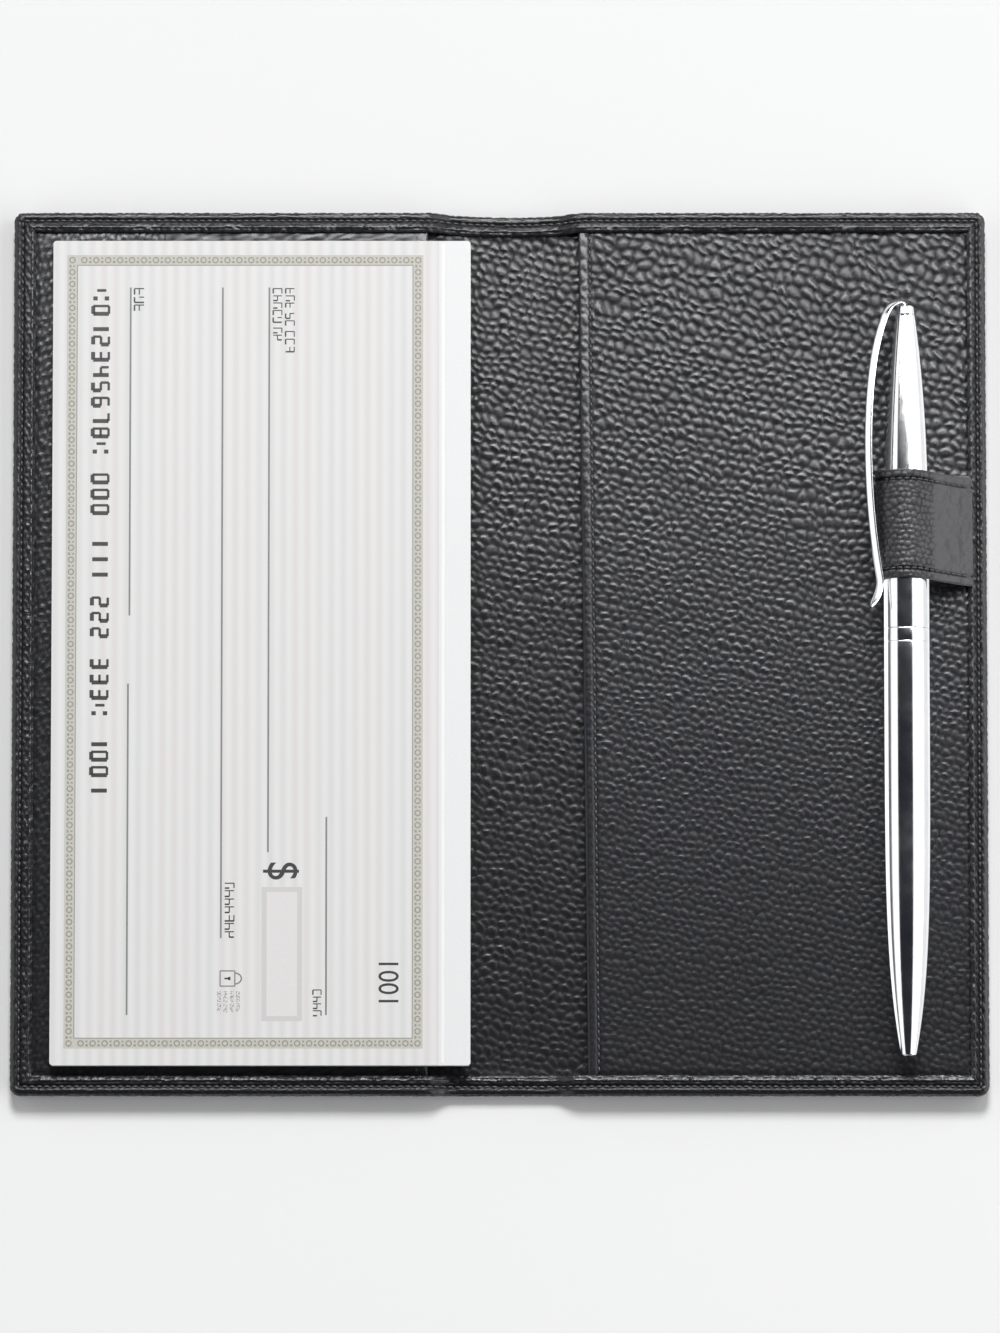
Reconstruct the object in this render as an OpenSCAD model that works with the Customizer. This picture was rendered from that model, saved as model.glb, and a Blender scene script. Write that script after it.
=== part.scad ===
/* [Checks] */
// Length of the checks
check_l = 152.4; // [140:0.4:160]
// Width of the checks, up to the perforation
check_w = 71.2; // [64:0.4:80]
// Width of the stub beyond the perforation
stub_w = 5.85; // [5:0.05:7.5]
// Thickness of all the checks under the top one
pad_t = 2.4; // [1:0.1:2.6]
// Thickness of the top check
sheet_t = 0.15; // [0.1:0.05:0.2]
// Thickness of the back card
card_t = 0.4; // [0.3:0.05:0.5]
// How much shorter than the checks the back card is at each end
card_short = 1; // [0.5:0.1:2]
// Depth of the back card behind the pad's bound edge, in the pocket
flap_w = 62; // [40:1:64]
// Distance of the pad's bound edge from the crease
pad_gap = 0.35; // [0.3:0.05:0.6]
// Distance of the pad's middle below the middle of the cover
pad_drop = 0.2; // [0:0.1:0.6]
// Gap between the back card and the pocket that it slides in
card_fit = 0.08; // [0.05:0.01:0.1]
// Radius of the corners of the paper
paper_corner_r = 1; // [0.5:0.1:2]

/* [Cover] */
// Distance from the ends of the checks to the edge of the cover
end_room = 5.55; // [5:0.05:8]
// Distance from the far side of the checks to the edge of the cover
side_room = 7.4; // [6:0.1:10]
// Radius of the outer corners, seen from above
corner_r = 1.8; // [1:0.1:3]
// Radius of the soft outer edge, seen in section
edge_r = 0.6; // [0.3:0.1:0.7]
// Thickness of the outer leather
leather_t = 1; // [0.8:0.1:1.3]
// Thickness of the leather turned over as a hem
turned_t = 0.7; // [0.4:0.1:0.7]
// Width of the hem at the top and the bottom
hem_end_w = 3.7; // [3.2:0.1:4.5]
// Width of the hem along the right edge
hem_right_w = 3.4; // [3:0.1:4.5]
// Width of the hem along the left edge
hem_left_w = 4; // [3:0.1:5]
// Thickness of the stiffening boards
board_t = 0.5; // [0.3:0.1:1]
// Thickness of the lining over the boards
lining_t = 0.3; // [0.2:0.1:0.6]

/* [Spine] */
// Width of the spine strip between the two creases
spine_w = 10; // [9.6:0.1:12]
// Depth of the dip in the top edge at the spine
dip_depth = 0.65; // [0.3:0.05:1]
// Width of the dip
dip_w = 27; // [20:1:30]
// Distance of the deepest point of the dip from the middle
dip_shift = 2; // [0:0.5:4]
// Length over which the hem climbs from the spine to a pocket
ramp_w = 1.6; // [1:0.1:2.5]

/* [Pockets] */
// Height of the slot inside a pocket
slot_gap = 0.8; // [0.7:0.1:1.2]
// Thickness of the pocket panels
panel_t = 0.9; // [0.7:0.1:1.2]
// Distance of the left pocket's mouth from the crease
left_mouth_gap = 8.2; // [7.6:0.1:10]
// Distance of the right pocket's mouth from the crease at the top
right_mouth_gap = 9.5; // [9:0.1:11]
// How much farther the right pocket's mouth lies at the bottom
mouth_slant = 1.7; // [0:0.1:3]
// Distance of the boards from the crease
board_gap = 9.9; // [8:0.1:12]
// Width of the seam strips that close a pocket on three sides
seam_w = 3; // [2:0.2:3.6]

/* [Pen loop] */
// Width of the loop along the pen
loop_w = 20; // [16:0.5:22]
// Distance of the middle of the loop from the top end of the pen
loop_from_top = 40.85; // [36:0.05:46]
// Thickness of the loop's leather
loop_t = 0.75; // [0.7:0.05:0.9]
// Gap all round between the loop and the pen
loop_fit = 0.08; // [0.05:0.01:0.1]
// Distance from the cover's edge of the point where the loop's two leaves would meet
loop_apex_inset = 2.2; // [1.8:0.1:2.8]
// Length of the loop's end that is sewn in under the hem
loop_tail_w = 3.9; // [3.4:0.1:4.4]

/* [Pen] */
// Length of the pen with the refill drawn in
pen_l = 138.3; // [130:0.1:142]
// Largest radius of the pen
pen_r = 4.15; // [3.9:0.05:4.2]
// Radius of the flat top end
pen_top_r = 1.5; // [1.4:0.1:1.8]
// Radius of the open writing end
pen_tip_r = 1.41; // [1.4:0.05:1.6]
// Distance of the pen's axis from the right edge of the cover
pen_inset = 15.05; // [14:0.05:18]
// Distance of the writing end from the bottom edge of the cover
tip_room = 7.05; // [6:0.05:12]
// Distance of the centre ring from the writing end
ring_s = 75.9; // [70:0.1:78]
// Length over which the lower barrel tapers to the writing end
taper_l = 30; // [20:1:40]
// Width of the centre ring
ring_w = 2.45; // [2:0.05:3]
// Wall of the two barrels
barrel_wall = 0.45; // [0.35:0.05:0.5]
// Radius of the bore of the two barrels
barrel_bore_r = 3.4; // [3.3:0.05:3.5]
// Length of the end cap that shows
cap_l = 1.6; // [1.2:0.1:2]
// Running gap between turning or sliding pieces of the pen
pen_fit = 0.05; // [0.04:0.01:0.08]

/* [Pen clip] */
// Width of the clip
clip_w = 2; // [1.6:0.1:2.4]
// Thickness of the clip
clip_t = 0.4; // [0.3:0.05:0.45]
// Angle of the clip above the level of the pen's axis
clip_rise = 25; // [15:1:35]
// Distance between the clip and the pen's axis where it stands out most
clip_bulge = 8.65; // [8:0.05:9]
// Gap between the clip and the loop
clip_gap = 0.16; // [0.12:0.02:0.3]

/* [Twist mechanism] */
// Length of the end cap's stem in the barrel
stem_l = 5; // [3:0.5:6]
// Radius of that stem
stem_r = 0.9; // [0.7:0.05:1]
// Depth of the slot for the clip's root
cap_slot_l = 1.3; // [1:0.1:1.4]
// Distance of the cam sleeve above the joint of the barrels
cam_gap = 6; // [4:0.5:8]
// Length of the cam sleeve
cam_l = 24; // [20:1:26]
// Wall of the cam sleeve
cam_wall = 0.45; // [0.35:0.05:0.5]
// Length of the guide tube below the centre ring
guide_below = 10; // [8:1:14]
// Length of the guide tube above the joint of the barrels
guide_above = 28; // [26:1:30]
// Wall of the guide tube
guide_wall = 0.4; // [0.3:0.05:0.45]
// Length of the collar that holds the guide tube in the lower barrel
collar_l = 6; // [4:1:8]
// Distance of the refill's carrier above the joint of the barrels
carrier_gap = 13; // [10:1:14]
// Length of the carrier
carrier_l = 10; // [8:1:12]
// Radius of the carrier's pin
pin_r = 0.5; // [0.4:0.05:0.6]

/* [Refill] */
// Travel of the refill
refill_travel = 3; // [2.5:0.1:3.2]
// Radius of the ink tube
ink_tube_r = 1.6; // [1.4:0.05:1.7]
// Wall of the ink tube
ink_tube_wall = 0.25; // [0.2:0.05:0.4]
// Radius of the nose
nose_r = 0.95; // [0.8:0.05:1]
// Radius of the writing ball
ball_r = 0.35; // [0.3:0.05:0.4]
// Depth of the ball behind the writing end when it is drawn in
ball_depth = 1; // [0.6:0.1:1.4]
// Length of the nose beyond its shoulder
nose_l = 5; // [4.6:0.1:5.4]
// Length of the nose's pointed end
nose_taper_l = 1.7; // [1.2:0.1:2]
// Length of the nose's shoulder
shoulder_l = 4; // [3:0.5:5]
// Length of the nose's plug in the ink tube
plug_l = 3; // [2:0.5:4]
// Depth of the ink tube in the carrier
socket_l = 3; // [2:0.5:4]

/* [Hidden] */

$fn = 96;
eps = 0.01;
reach = 1000;

black_leather = [0.09, 0.09, 0.1];
panel_leather = [0.13, 0.13, 0.14];
lining_leather = [0.11, 0.11, 0.12];
board_grey = [0.45, 0.42, 0.38];
paper_white = [0.93, 0.94, 0.92];
card_white = [0.86, 0.86, 0.83];
chrome = [0.8, 0.81, 0.83];
brass = [0.72, 0.58, 0.3];
plastic_white = [0.85, 0.85, 0.85];

crease_x = spine_w / 2;
pad_edge_x = -crease_x - pad_gap;
perf_x = pad_edge_x - stub_w;
pad_far_x = perf_x - check_w;
half_w = side_room - pad_far_x;
half_h = check_l / 2 + end_room;
cover_w = 2 * half_w;
cover_h = 2 * half_h;
inner_h = half_h - leather_t;
inner_w = half_w - leather_t;
left_mouth = crease_x + left_mouth_gap;
right_mouth_top = crease_x + right_mouth_gap;
right_mouth_bottom = right_mouth_top + mouth_slant;
board_x = crease_x + board_gap;

z_board = leather_t;
z_lining = z_board + board_t;
z_slot = z_lining + lining_t;
z_panel = z_slot + slot_gap;
z_hem = z_panel + panel_t;
cover_t = z_hem + turned_t;
crease_z = z_slot + turned_t;
dip_r = (dip_w * dip_w / 4 + dip_depth * dip_depth) / (2 * dip_depth);

card_low_z = z_slot + card_fit;
card_top_z = z_hem + card_fit;
fold_outer_r = (card_top_z + card_t - card_low_z) / 2;
fold_z = card_low_z + fold_outer_r;
pad_z = card_top_z + card_t;
top_sheet_z = pad_z + pad_t;
pad_y = -pad_drop;

loop_r = pen_r + loop_fit;
loop_outer_r = loop_r + loop_t;
pen_x = half_w - pen_inset;
pen_z = z_hem + loop_outer_r;
pen_tip_y = tip_room - half_h;
loop_y = pen_tip_y + pen_l - loop_from_top;
loop_low_y = loop_y - loop_w / 2;
loop_lean = asin(loop_outer_r / norm([half_w - loop_apex_inset - pen_x, loop_outer_r]));
tail_x = inner_w - loop_tail_w;

upper_s = ring_s + ring_w + pen_fit;
upper_l = pen_l - upper_s;
cap_s = pen_l - cap_l;
tip_bore_r = nose_r + 2 * pen_fit;
cam_s = upper_s + cam_gap;
cam_bore_r = barrel_bore_r - cam_wall;
guide_s = ring_s - guide_below;
guide_l = upper_s + guide_above - guide_s;
guide_r = cam_bore_r - pen_fit;
guide_bore_r = guide_r - guide_wall;
carrier_s = upper_s + carrier_gap;
carrier_r = guide_bore_r - pen_fit;
pin_s = carrier_s + carrier_l / 2;
nose_s = ball_depth + ball_r;
clip_out = loop_outer_r + clip_gap + clip_t / 2;
clip_low_s = loop_low_y - pen_tip_y - clip_t;

// Circle arcs joined by squares give a plate its round corners
module round_rect(w, h, r) {
    translate([-w / 2 + r, -h / 2]) square([w - 2 * r, h]);
    translate([-w / 2, -h / 2 + r]) square([w, h - 2 * r]);
    for (sx = [-1, 1], sy = [-1, 1])
        translate([sx * (w / 2 - r), sy * (h / 2 - r)]) circle(r);
}

// Everything past the top edge where the spine draws it in, moved inwards by inset
module dip(inset) {
    translate([dip_shift, half_h - dip_depth + dip_r, -1])
        cylinder(r = dip_r + inset, h = cover_t + 2, $fn = 360);
}

// Outline of the flat cover with soft edges all round
module cover_block() {
    intersection() {
        linear_extrude(cover_t) round_rect(cover_w, cover_h, corner_r);
        translate([0, half_h + 1, cover_t / 2]) rotate([90, 0, 0])
            linear_extrude(cover_h + 2) round_rect(cover_w, cover_t, edge_r);
        translate([-half_w - 1, 0, cover_t / 2]) rotate([90, 0, 90])
            linear_extrude(cover_w + 2) round_rect(cover_h, cover_t, edge_r);
    }
}

// Section along the width: the spine lies lower than the two pockets
module spine_section(low_z, high_z, left_x, right_x) {
    polygon([
        [-left_x, high_z], [-left_x + ramp_w, low_z],
        [right_x - ramp_w, low_z], [right_x, high_z]
    ]);
}

// The one hide: a plain sheet with a wall and a hem round its edge
module hide() {
    difference() {
        cover_block();
        dip(0);
        translate([0, half_h + 1, 0]) rotate([90, 0, 0]) linear_extrude(cover_h + 2)
            spine_section(crease_z, cover_t + eps, left_mouth, right_mouth_top);
        difference() {
            translate([0, inner_h, 0]) rotate([90, 0, 0]) linear_extrude(2 * inner_h) difference() {
                translate([-inner_w, leather_t]) square([2 * inner_w, z_hem - leather_t]);
                spine_section(z_slot, z_hem + eps, left_mouth, right_mouth_top);
            }
            dip(leather_t);
        }
        difference() {
            translate([-half_w + hem_left_w, -half_h + hem_end_w, z_slot])
                cube([cover_w - hem_left_w - hem_right_w, cover_h - 2 * hem_end_w, cover_t]);
            dip(hem_end_w);
        }
    }
}

// The part of a sheet between two places along the width
module between(x0, x1) {
    intersection() {
        children();
        translate([x0, -reach / 2, -1]) cube([x1 - x0, reach, cover_t + 2]);
    }
}

// A flat layer inside the hide, from x0 to x1 and z0 to z1
module layer(x0, x1, z0, z1) {
    translate([x0, -inner_h, z0]) cube([x1 - x0, 2 * inner_h, z1 - z0]);
}

// The lining lies on the boards and comes down to the hide between them
module lining() {
    difference() {
        union() {
            layer(-inner_w, inner_w, z_lining, z_slot);
            layer(-board_x, board_x, z_board, z_slot);
        }
        dip(leather_t);
    }
}

// Three strips, butted with a hair's gap, which hold a pocket open by the slot's height
module seam_strips(mouth) {
    butt = 0.1;
    for (y = [-inner_h, inner_h - seam_w])
        translate([mouth, y, z_slot]) cube([inner_w - mouth, seam_w, slot_gap]);
    translate([inner_w - seam_w, -inner_h + seam_w + butt, z_slot])
        cube([seam_w, 2 * (inner_h - seam_w - butt), slot_gap]);
}

// A pocket panel with a turned, round mouth; top and bottom are the ends of its mouth
module panel(top, bottom) {
    lean = atan((bottom - top) / (2 * inner_h));
    nose = panel_t / 2;
    intersection() {
        union() {
            translate([0, 0, z_panel]) linear_extrude(panel_t) polygon([
                [top + nose, inner_h], [inner_w, inner_h], [inner_w, -inner_h], [bottom + nose, -inner_h]
            ]);
            translate([(top + bottom) / 2 + nose, 0, z_panel + nose]) rotate([90, 0, lean])
                cylinder(r = nose, h = cover_h, center = true);
        }
        layer(0, inner_w, z_slot, cover_t);
    }
}

module right_outer_leather() {
    color(black_leather) between(crease_x, half_w + 1) hide();
}

module spine_outer_leather() {
    color(black_leather) between(-crease_x, crease_x) hide();
}

module left_outer_leather() {
    color(black_leather) between(-half_w - 1, -crease_x) hide();
}

module right_board() {
    color(board_grey) layer(board_x, inner_w, z_board, z_lining);
}

module left_board() {
    color(board_grey) layer(-inner_w, -board_x, z_board, z_lining);
}

module right_lining() {
    color(lining_leather) between(crease_x, inner_w) lining();
}

module spine_lining() {
    color(lining_leather) between(-crease_x, crease_x) lining();
}

module left_lining() {
    color(lining_leather) between(-inner_w, -crease_x) lining();
}

module right_seam_strip() {
    color(lining_leather) seam_strips(right_mouth_bottom + 1);
}

module left_seam_strip() {
    color(lining_leather) mirror([1, 0, 0]) seam_strips(left_mouth + 1);
}

module right_pocket_panel() {
    color(panel_leather) difference() {
        panel(right_mouth_top, right_mouth_bottom);
        dip(leather_t);
        loop_tail();
    }
}

module left_pocket_panel() {
    color(panel_leather) mirror([1, 0, 0]) panel(left_mouth, left_mouth);
}

// Teardrop that is round about the pen and runs out to a point at apex distance d
module teardrop(r) {
    d = r / sin(loop_lean);
    circle(r);
    polygon([
        [0, 0], r * [sin(2 * loop_lean), cos(2 * loop_lean)],
        d * [cos(loop_lean), -sin(loop_lean)], [0, -r]
    ]);
}

// The sewn-in end of the loop, as thick as the panel that it is let into
module loop_tail() {
    translate([tail_x, loop_low_y, z_panel]) cube([loop_tail_w, loop_w, panel_t]);
}

module pen_loop() {
    hem_x = half_w - hem_right_w;
    color(panel_leather) {
        intersection() {
            translate([pen_x, loop_low_y + loop_w, pen_z]) rotate([90, 0, 0])
                linear_extrude(loop_w) difference() {
                    teardrop(loop_outer_r);
                    teardrop(loop_r);
                }
            translate([0, -half_h, 0]) cube([hem_x, cover_h, cover_t * 10]);
        }
        loop_tail();
    }
}

// The back card: under the checks, round the bound edge and down into the pocket
module pad_back_card() {
    fold_x = pad_edge_x - fold_outer_r;
    card_l = check_l - 2 * card_short;
    color(card_white) translate([0, pad_y + card_l / 2, 0]) rotate([90, 0, 0]) linear_extrude(card_l) {
        translate([pad_far_x, card_top_z]) square([fold_x - pad_far_x, card_t]);
        translate([pad_edge_x - flap_w, card_low_z]) square([fold_x - pad_edge_x + flap_w, card_t]);
        translate([fold_x, fold_z]) difference() {
            circle(fold_outer_r);
            circle(fold_outer_r - card_t);
            translate([-2 * fold_outer_r, -fold_outer_r]) square(2 * fold_outer_r);
        }
    }
}

// A leaf of paper from x0 to x1 with round outer corners
module leaf(x0, x1, z0, z1) {
    translate([(x0 + x1) / 2, pad_y, z0]) linear_extrude(z1 - z0) round_rect(x1 - x0, check_l, paper_corner_r);
}

module check_pad() {
    color(paper_white) difference() {
        leaf(pad_far_x, pad_edge_x, pad_z, top_sheet_z + sheet_t);
        translate([pad_far_x - 1, -half_h, top_sheet_z]) cube([check_w + 1, cover_h, 1]);
    }
}

module top_check() {
    color(paper_white) intersection() {
        leaf(pad_far_x, pad_edge_x, top_sheet_z, top_sheet_z + sheet_t);
        translate([pad_far_x, -half_h, pad_z]) cube([check_w, cover_h, cover_t]);
    }
}

// Stands what is drawn along Z, from the writing end up, in its place along the pen
module on_pen() {
    translate([pen_x, pen_tip_y, pen_z]) rotate([-90, 0, 0]) children();
}

// Radius of the pen at distance s from the writing end, below and above the ring
function lower_r(s) = pen_r - (pen_r - pen_tip_r) * pow(max(0, 1 - s / ring_s), 5.2);
function upper_r(s) = pen_r - (pen_r - pen_top_r) * pow(max(0, s - upper_s) / upper_l, 3.2);
function steps(a, b, n) = [for (i = [0:n]) a + (b - a) * i / n];
function flipped(list) = [for (i = [len(list) - 1:-1:0]) list[i]];

module pen_lower_barrel() {
    stations = concat(steps(0, taper_l, 12), [(taper_l + ring_s) / 2, ring_s]);
    outer = [for (s = stations) [lower_r(s), s]];
    inner = [for (s = flipped(stations)) [max(tip_bore_r, min(barrel_bore_r, lower_r(s) - barrel_wall)), s]];
    color(chrome) on_pen() rotate_extrude() polygon(concat(outer, inner));
}

module centre_ring() {
    color(chrome) on_pen() difference() {
        translate([0, 0, ring_s]) cylinder(r = pen_r, h = ring_w);
        translate([0, 0, ring_s - 1]) cylinder(r = guide_r, h = ring_w + 2);
    }
}

module pen_upper_barrel() {
    stations = concat([upper_s, upper_s + cam_gap], steps(upper_s + cam_l, cap_s, 12));
    cone_s = cap_s - stem_l - 2 * cap_l;
    outer = [for (s = stations) [upper_r(s), s]];
    bore_s = cam_s + cam_l;
    inner = [[stem_r, cap_s], [stem_r, cone_s], [barrel_bore_r, bore_s], [barrel_bore_r, upper_s]];
    color(chrome) on_pen() rotate_extrude() polygon(concat(outer, inner));
}

// Turns what is drawn about the pen's axis to where the clip stands
module at_clip() {
    rotate([0, 0, 180 + clip_rise]) children();
}

module pen_end_cap() {
    color(chrome) on_pen() difference() {
        union() {
            translate([0, 0, cap_s]) cylinder(r1 = upper_r(cap_s), r2 = pen_top_r, h = cap_l);
            translate([0, 0, cap_s - stem_l]) cylinder(r = stem_r, h = stem_l);
        }
        at_clip() translate([-clip_t * 1.5, -clip_w / 2 - 0.1, pen_l - cap_slot_l])
            cube([clip_t * 3, clip_w + 0.2, 2 * cap_slot_l]);
    }
}

// A point on a smooth curve with four handles, at share t of its length
function curve(p, t) =
    pow(1 - t, 3) * p[0] + 3 * t * pow(1 - t, 2) * p[1] + 3 * t * t * (1 - t) * p[2] + pow(t, 3) * p[3];
function bend(p, n) = [for (i = [1:n]) curve(p, i / n)];

// A strip of thickness t along a line of points
function side(line, t) = [
    for (i = [0:len(line) - 1])
        let (a = line[max(i - 1, 0)], b = line[min(i + 1, len(line) - 1)], d = (b - a) / norm(b - a))
            line[i] + t / 2 * [d[1], -d[0]]
];

// The clip's line from its root in the cap, over the top, down beside the loop and out again
clip_root = [0, pen_l - cap_slot_l + 0.15];
clip_top = [0, pen_l];
clip_shoulder = [clip_bulge - 4, pen_l - 3.3];
clip_touch = [clip_out, clip_low_s];
clip_line = concat(
    [clip_root, clip_top],
    bend([clip_top, clip_top + [0, 1.3], clip_shoulder + [-1.45, 4.9], clip_shoulder], 8),
    bend([clip_shoulder, [clip_bulge, pen_l - 13.3], [clip_bulge, clip_low_s + 16], clip_touch], 14),
    bend([clip_touch, clip_touch + [0.05, -1.4], clip_touch + [0.4, -2.8], clip_touch + [1.9, -5]], 5)
);

module pen_clip() {
    color(chrome) on_pen() at_clip() rotate([90, 0, 0]) linear_extrude(clip_w, center = true)
        polygon(concat(side(clip_line, clip_t), flipped(side(clip_line, -clip_t))));
}

// A tube along the pen, from distance s to s + l
module tube(s, l, outer_r, inner_r) {
    difference() {
        translate([0, 0, s]) cylinder(r = outer_r, h = l);
        translate([0, 0, s - 1]) cylinder(r = inner_r, h = l + 2);
    }
}

// The slot that draws the pin down as the barrels turn half a turn, as overlapping short steps
module cam_slot() {
    count = 12;
    turn = 180 / count;
    drop = refill_travel / count;
    play = pin_r + pen_fit;
    spread = asin(play / cam_bore_r);
    for (i = [0:count - 1])
        rotate([0, 0, i * turn - spread]) rotate_extrude(angle = turn + 2 * spread)
            translate([cam_bore_r - 0.2, pin_s - (i + 1) * drop - play])
                square([barrel_bore_r - cam_bore_r + 0.4, drop + 2 * play]);
}

module cam_sleeve() {
    color(brass) on_pen() difference() {
        tube(cam_s, cam_l, barrel_bore_r, cam_bore_r);
        cam_slot();
    }
}

module guide_tube() {
    play = pin_r + pen_fit;
    color(brass) on_pen() difference() {
        union() {
            tube(guide_s, guide_l, guide_r, guide_bore_r);
            tube(guide_s, collar_l, barrel_bore_r, guide_bore_r);
        }
        translate([guide_bore_r - 0.4, -play, pin_s - refill_travel - play])
            cube([2, 2 * play, refill_travel + 2 * play]);
    }
}

module refill_carrier() {
    color(plastic_white) on_pen() difference() {
        union() {
            translate([0, 0, carrier_s]) cylinder(r = carrier_r, h = carrier_l);
            translate([0, 0, pin_s]) rotate([0, 90, 0]) cylinder(r = pin_r, h = barrel_bore_r - 2 * pen_fit);
        }
        translate([0, 0, carrier_s - 1]) cylinder(r = ink_tube_r, h = socket_l + 1);
    }
}

module ink_tube() {
    tube_s = nose_s + nose_l + shoulder_l;
    color(brass) on_pen() tube(tube_s, carrier_s + socket_l - tube_s, ink_tube_r, ink_tube_r - ink_tube_wall);
}

module refill_nose() {
    shoulder_s = nose_s + nose_l;
    tube_s = shoulder_s + shoulder_l;
    plug_r = ink_tube_r - ink_tube_wall;
    color(brass) on_pen() difference() {
        rotate_extrude() polygon([
            [0, nose_s], [ball_r + 0.1, nose_s], [nose_r, nose_s + nose_taper_l], [nose_r, shoulder_s],
            [ink_tube_r, tube_s], [plug_r, tube_s], [plug_r, tube_s + plug_l], [0, tube_s + plug_l]
        ]);
        translate([0, 0, nose_s]) sphere(ball_r);
    }
}

module refill_ball() {
    color("silver") on_pen() translate([0, 0, nose_s]) sphere(ball_r);
}

right_outer_leather();
right_board();
right_lining();
right_seam_strip();
right_pocket_panel();
pen_loop();
spine_outer_leather();
spine_lining();
left_outer_leather();
left_board();
left_lining();
left_seam_strip();
left_pocket_panel();
pad_back_card();
check_pad();
top_check();
pen_upper_barrel();
pen_end_cap();
pen_clip();
cam_sleeve();
centre_ring();
pen_lower_barrel();
guide_tube();
refill_carrier();
ink_tube();
refill_nose();
refill_ball();
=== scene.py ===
"""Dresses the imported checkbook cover: pebbled leather, checks and a chrome twist ballpoint."""
import math

import bpy
import numpy as np
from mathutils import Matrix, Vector


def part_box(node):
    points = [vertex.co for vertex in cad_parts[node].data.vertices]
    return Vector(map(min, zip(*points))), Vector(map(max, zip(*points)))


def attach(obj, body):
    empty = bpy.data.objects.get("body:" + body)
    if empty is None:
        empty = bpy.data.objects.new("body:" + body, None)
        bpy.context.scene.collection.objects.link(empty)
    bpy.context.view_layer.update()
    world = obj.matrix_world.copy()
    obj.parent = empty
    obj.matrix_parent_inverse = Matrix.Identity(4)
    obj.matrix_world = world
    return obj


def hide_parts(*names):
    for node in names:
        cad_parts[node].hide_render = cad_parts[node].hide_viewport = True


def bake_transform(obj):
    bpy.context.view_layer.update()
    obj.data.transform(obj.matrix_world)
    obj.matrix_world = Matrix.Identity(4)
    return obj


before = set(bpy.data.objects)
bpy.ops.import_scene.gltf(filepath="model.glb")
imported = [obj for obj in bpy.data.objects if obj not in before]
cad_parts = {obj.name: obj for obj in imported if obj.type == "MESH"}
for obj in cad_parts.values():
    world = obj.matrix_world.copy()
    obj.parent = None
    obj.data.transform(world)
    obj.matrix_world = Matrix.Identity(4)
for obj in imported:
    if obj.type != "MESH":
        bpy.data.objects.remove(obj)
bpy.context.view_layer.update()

# Camera
TILT = math.radians(6)
DISTANCE = 1.65
PIXELS_PER_MM = 5.419
target = Vector((0.00006, -0.00236, 0))
camera_data = bpy.data.cameras.new("camera")
camera_data.sensor_fit = "VERTICAL"
camera_data.sensor_height = 36
camera_data.lens = PIXELS_PER_MM * DISTANCE * 1000 * 36 / 1333
camera_data.clip_start = 0.02
camera_data.clip_end = 60
camera = bpy.data.objects.new("camera", camera_data)
camera.location = target + DISTANCE * Vector((0, -math.sin(TILT), math.cos(TILT)))
camera.rotation_euler = (TILT, 0, 0)
bpy.context.scene.collection.objects.link(camera)
bpy.context.scene.camera = camera
bpy.context.scene.view_settings.view_transform = "Standard"

# Sizes in millimetres, taken from the frame
MM = 0.001
right_low, right_high = (np.array(p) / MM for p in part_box("right_outer_leather"))
spine_high = np.array(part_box("spine_outer_leather")[1]) / MM
panel_low, panel_high = (np.array(p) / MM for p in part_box("right_pocket_panel"))
left_panel_high = np.array(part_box("left_pocket_panel")[1]) / MM
lining_high = np.array(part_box("spine_lining")[1]) / MM
pages_low, pages_high = (np.array(p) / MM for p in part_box("check_pad"))
sheet_low, sheet_high = (np.array(p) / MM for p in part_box("top_check"))
loop_low, loop_high = (np.array(p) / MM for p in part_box("pen_loop"))
lower_low = np.array(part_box("pen_lower_barrel")[0]) / MM
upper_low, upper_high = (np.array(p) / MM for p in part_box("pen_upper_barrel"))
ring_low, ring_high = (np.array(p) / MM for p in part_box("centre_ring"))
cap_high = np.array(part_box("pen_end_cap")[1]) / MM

HALF_W = right_high[0]
HALF_H = -right_low[1]
COVER_T = right_high[2]
CREASE_X = right_low[0]
CREASE_Z = spine_high[2]
CORNER_R = 1.8
HEM_Z = panel_high[2]
LINING_Z = lining_high[2]
HEM_END = 3.7
HEM_RIGHT = 3.4
HEM_LEFT = 4.0
MOUTH_TOP = panel_low[0]
MOUTH_SLANT = 1.7
LEFT_MOUTH = -left_panel_high[0]
INNER_H = HALF_H - 1
SEAM_W = 3.0
STRAP_SEAM = 1.75


# Noise and grain
def chance(i, j, k=0.0):
    """A fixed number from 0 to 1 for each pair of whole numbers."""
    x = np.sin(i * 127.1 + j * 311.7 + k * 74.7) * 43758.5453
    return x - np.floor(x)


def noise(x, y, seed=0.0):
    """Smooth noise from 0 to 1 with features about 1 wide."""
    ix, iy = np.floor(x), np.floor(y)
    fx, fy = x - ix, y - iy
    fx, fy = fx * fx * (3 - 2 * fx), fy * fy * (3 - 2 * fy)
    low = chance(ix, iy, seed) * (1 - fx) + chance(ix + 1, iy, seed) * fx
    high = chance(ix, iy + 1, seed) * (1 - fx) + chance(ix + 1, iy + 1, seed) * fx
    return low * (1 - fy) + high * fy


def smooth(x, low, high):
    """Rises from 0 at low to 1 at high."""
    t = np.clip((x - low) / (high - low), 0, 1)
    return t * t * (3 - 2 * t)


def hump(x, middle, width):
    """1 at the middle, fading to 0 a few widths to each side."""
    return np.exp(-((x - middle) / width) ** 2)


GRAIN_GROOVE = 0.34


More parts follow.
